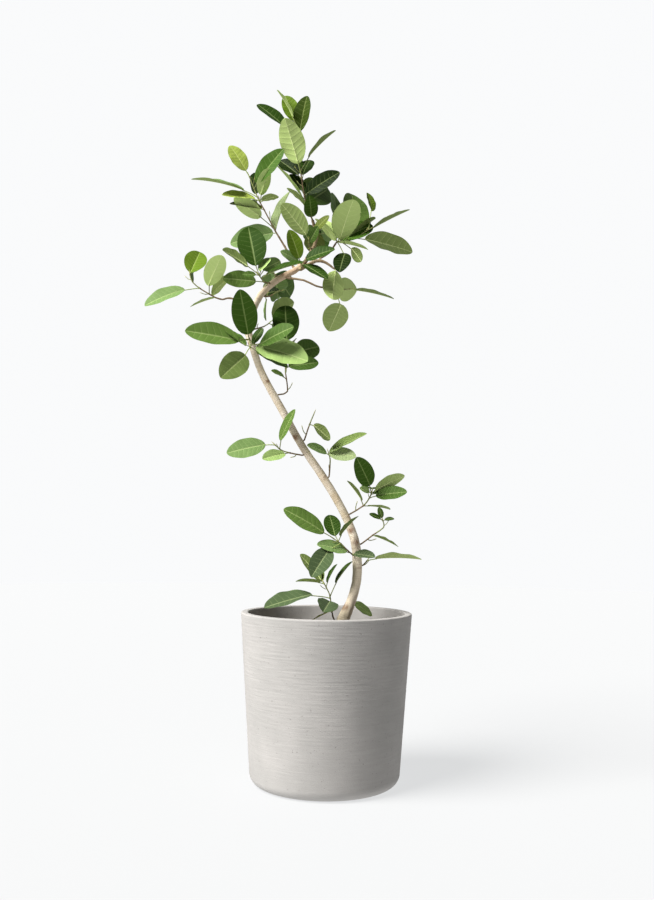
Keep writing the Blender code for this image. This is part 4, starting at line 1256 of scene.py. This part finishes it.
# The stage is a plain pale floor under a plain pale sky. A strong soft lamp stands high at the viewer's
# left, and a faint, very wide one behind at the right. The camera stands two metres in front, at about a
# third of the plant's height, and looks slightly up.

FLOOR_RADIUS = 7.0
FLOOR_SIDES = 64
# Each lamp: the place that it shines from, its spread in degrees and its strength
LAMPS = {"window_lamp": ((-2.1, -1.2, 2.5), 36.0, 8.4), "far_lamp": ((1.7, 2.2, 1.9), 110.0, 0.9)}
LAMP_WHITE = (1.0, 0.99, 0.975)
SKY_WHITE = (0.985, 0.992, 1.0, 1.0)
SKY_BLUE = (0.93, 0.97, 1.0, 1.0)
GLOW_WHITE = (0.98, 0.992, 1.0, 1.0)
FLOOR_WHITE = 0.11
FLOOR_GLOW = 0.682
SKY_SEEN = 0.97
SKY_LIGHT = 0.05
CAMERA_PLACE = (0.0, -2.0, 0.5419)
CAMERA_PITCH = 0.0855
CAMERA_ROLL = 0.0130
CAMERA_YAW = -0.0017
CAMERA_LENS = 36.366


def matrix_rows(right, up, back, place):
    """A 4 by 4 matrix, row by row, whose columns are three directions and a place."""
    return [[*(axis[k] for axis in (right, up, back)), place[k]] for k in range(3)] + [[0, 0, 0, 1]]


def add_floor():
    """A flat disc level with the planter's underside, which glows so that no edge shows against the sky."""
    rim = turned(FLOOR_RADIUS, round_angles(FLOOR_SIDES), 0.0)
    mesh = bpy.data.meshes.new("floor")
    mesh.from_pydata(rim.tolist(), [], [list(range(FLOOR_SIDES))])
    glow = {"Emission_Strength": FLOOR_GLOW, "Emission_Color": GLOW_WHITE}
    mesh.materials.append(new_finish("floor_paper", (*[FLOOR_WHITE] * 3, 1.0), 1.0, **glow))
    floor = placed("floor", mesh)


def add_sky():
    """A plain sky: near white where the camera looks at it, and dimmer and cooler as a light."""
    world = bpy.data.worlds.new("sky")
    world.use_nodes = True
    bpy.context.scene.world = world
    tree = world.node_tree
    tree.nodes.clear()
    seen = add_node(tree, "Background", {"Color": SKY_WHITE, "Strength": SKY_SEEN})
    light = add_node(tree, "Background", {"Color": SKY_BLUE, "Strength": SKY_LIGHT})
    ray = add_node(tree, "LightPath").outputs["Is Camera Ray"]
    both = add_node(tree, "MixShader", {0: ray, 1: light.outputs[0], 2: seen.outputs[0]})
    add_node(tree, "OutputWorld", {"Surface": both.outputs[0]})


def add_lamp(name, place, spread, strength):
    """A soft lamp far off that shines from place towards the origin."""
    lamp = bpy.data.lights.new(name, "SUN")
    lamp.angle = math.radians(spread)
    lamp.energy = strength
    lamp.color = LAMP_WHITE
    back = unit(np.array(place))
    right = unit(np.cross((0, 0, 1), back))
    placed(name, lamp).matrix_world = Matrix(matrix_rows(right, np.cross(back, right), back, place))


def add_camera():
    """The camera, turned by its yaw, then its pitch, then its roll."""
    data = bpy.data.cameras.new("camera")
    data.lens = CAMERA_LENS
    data.sensor_width = 36.0
    sin_yaw, cos_yaw = math.sin(CAMERA_YAW), math.cos(CAMERA_YAW)
    sin_pitch, cos_pitch = math.sin(CAMERA_PITCH), math.cos(CAMERA_PITCH)
    level = np.array([cos_yaw, -sin_yaw, 0.0])
    ahead = np.array([sin_yaw * cos_pitch, cos_yaw * cos_pitch, sin_pitch])
    upright = np.array([-sin_yaw * sin_pitch, -cos_yaw * sin_pitch, cos_pitch])
    right = math.cos(CAMERA_ROLL) * level + math.sin(CAMERA_ROLL) * upright
    up = -math.sin(CAMERA_ROLL) * level + math.cos(CAMERA_ROLL) * upright
    camera = placed("camera", data)
    camera.matrix_world = Matrix(matrix_rows(right, up, -ahead, CAMERA_PLACE))
    bpy.context.scene.camera = camera


add_floor()
add_sky()
for name, settings in LAMPS.items():
    add_lamp(name, *settings)
add_camera()
bpy.context.scene.view_settings.view_transform = "Standard"
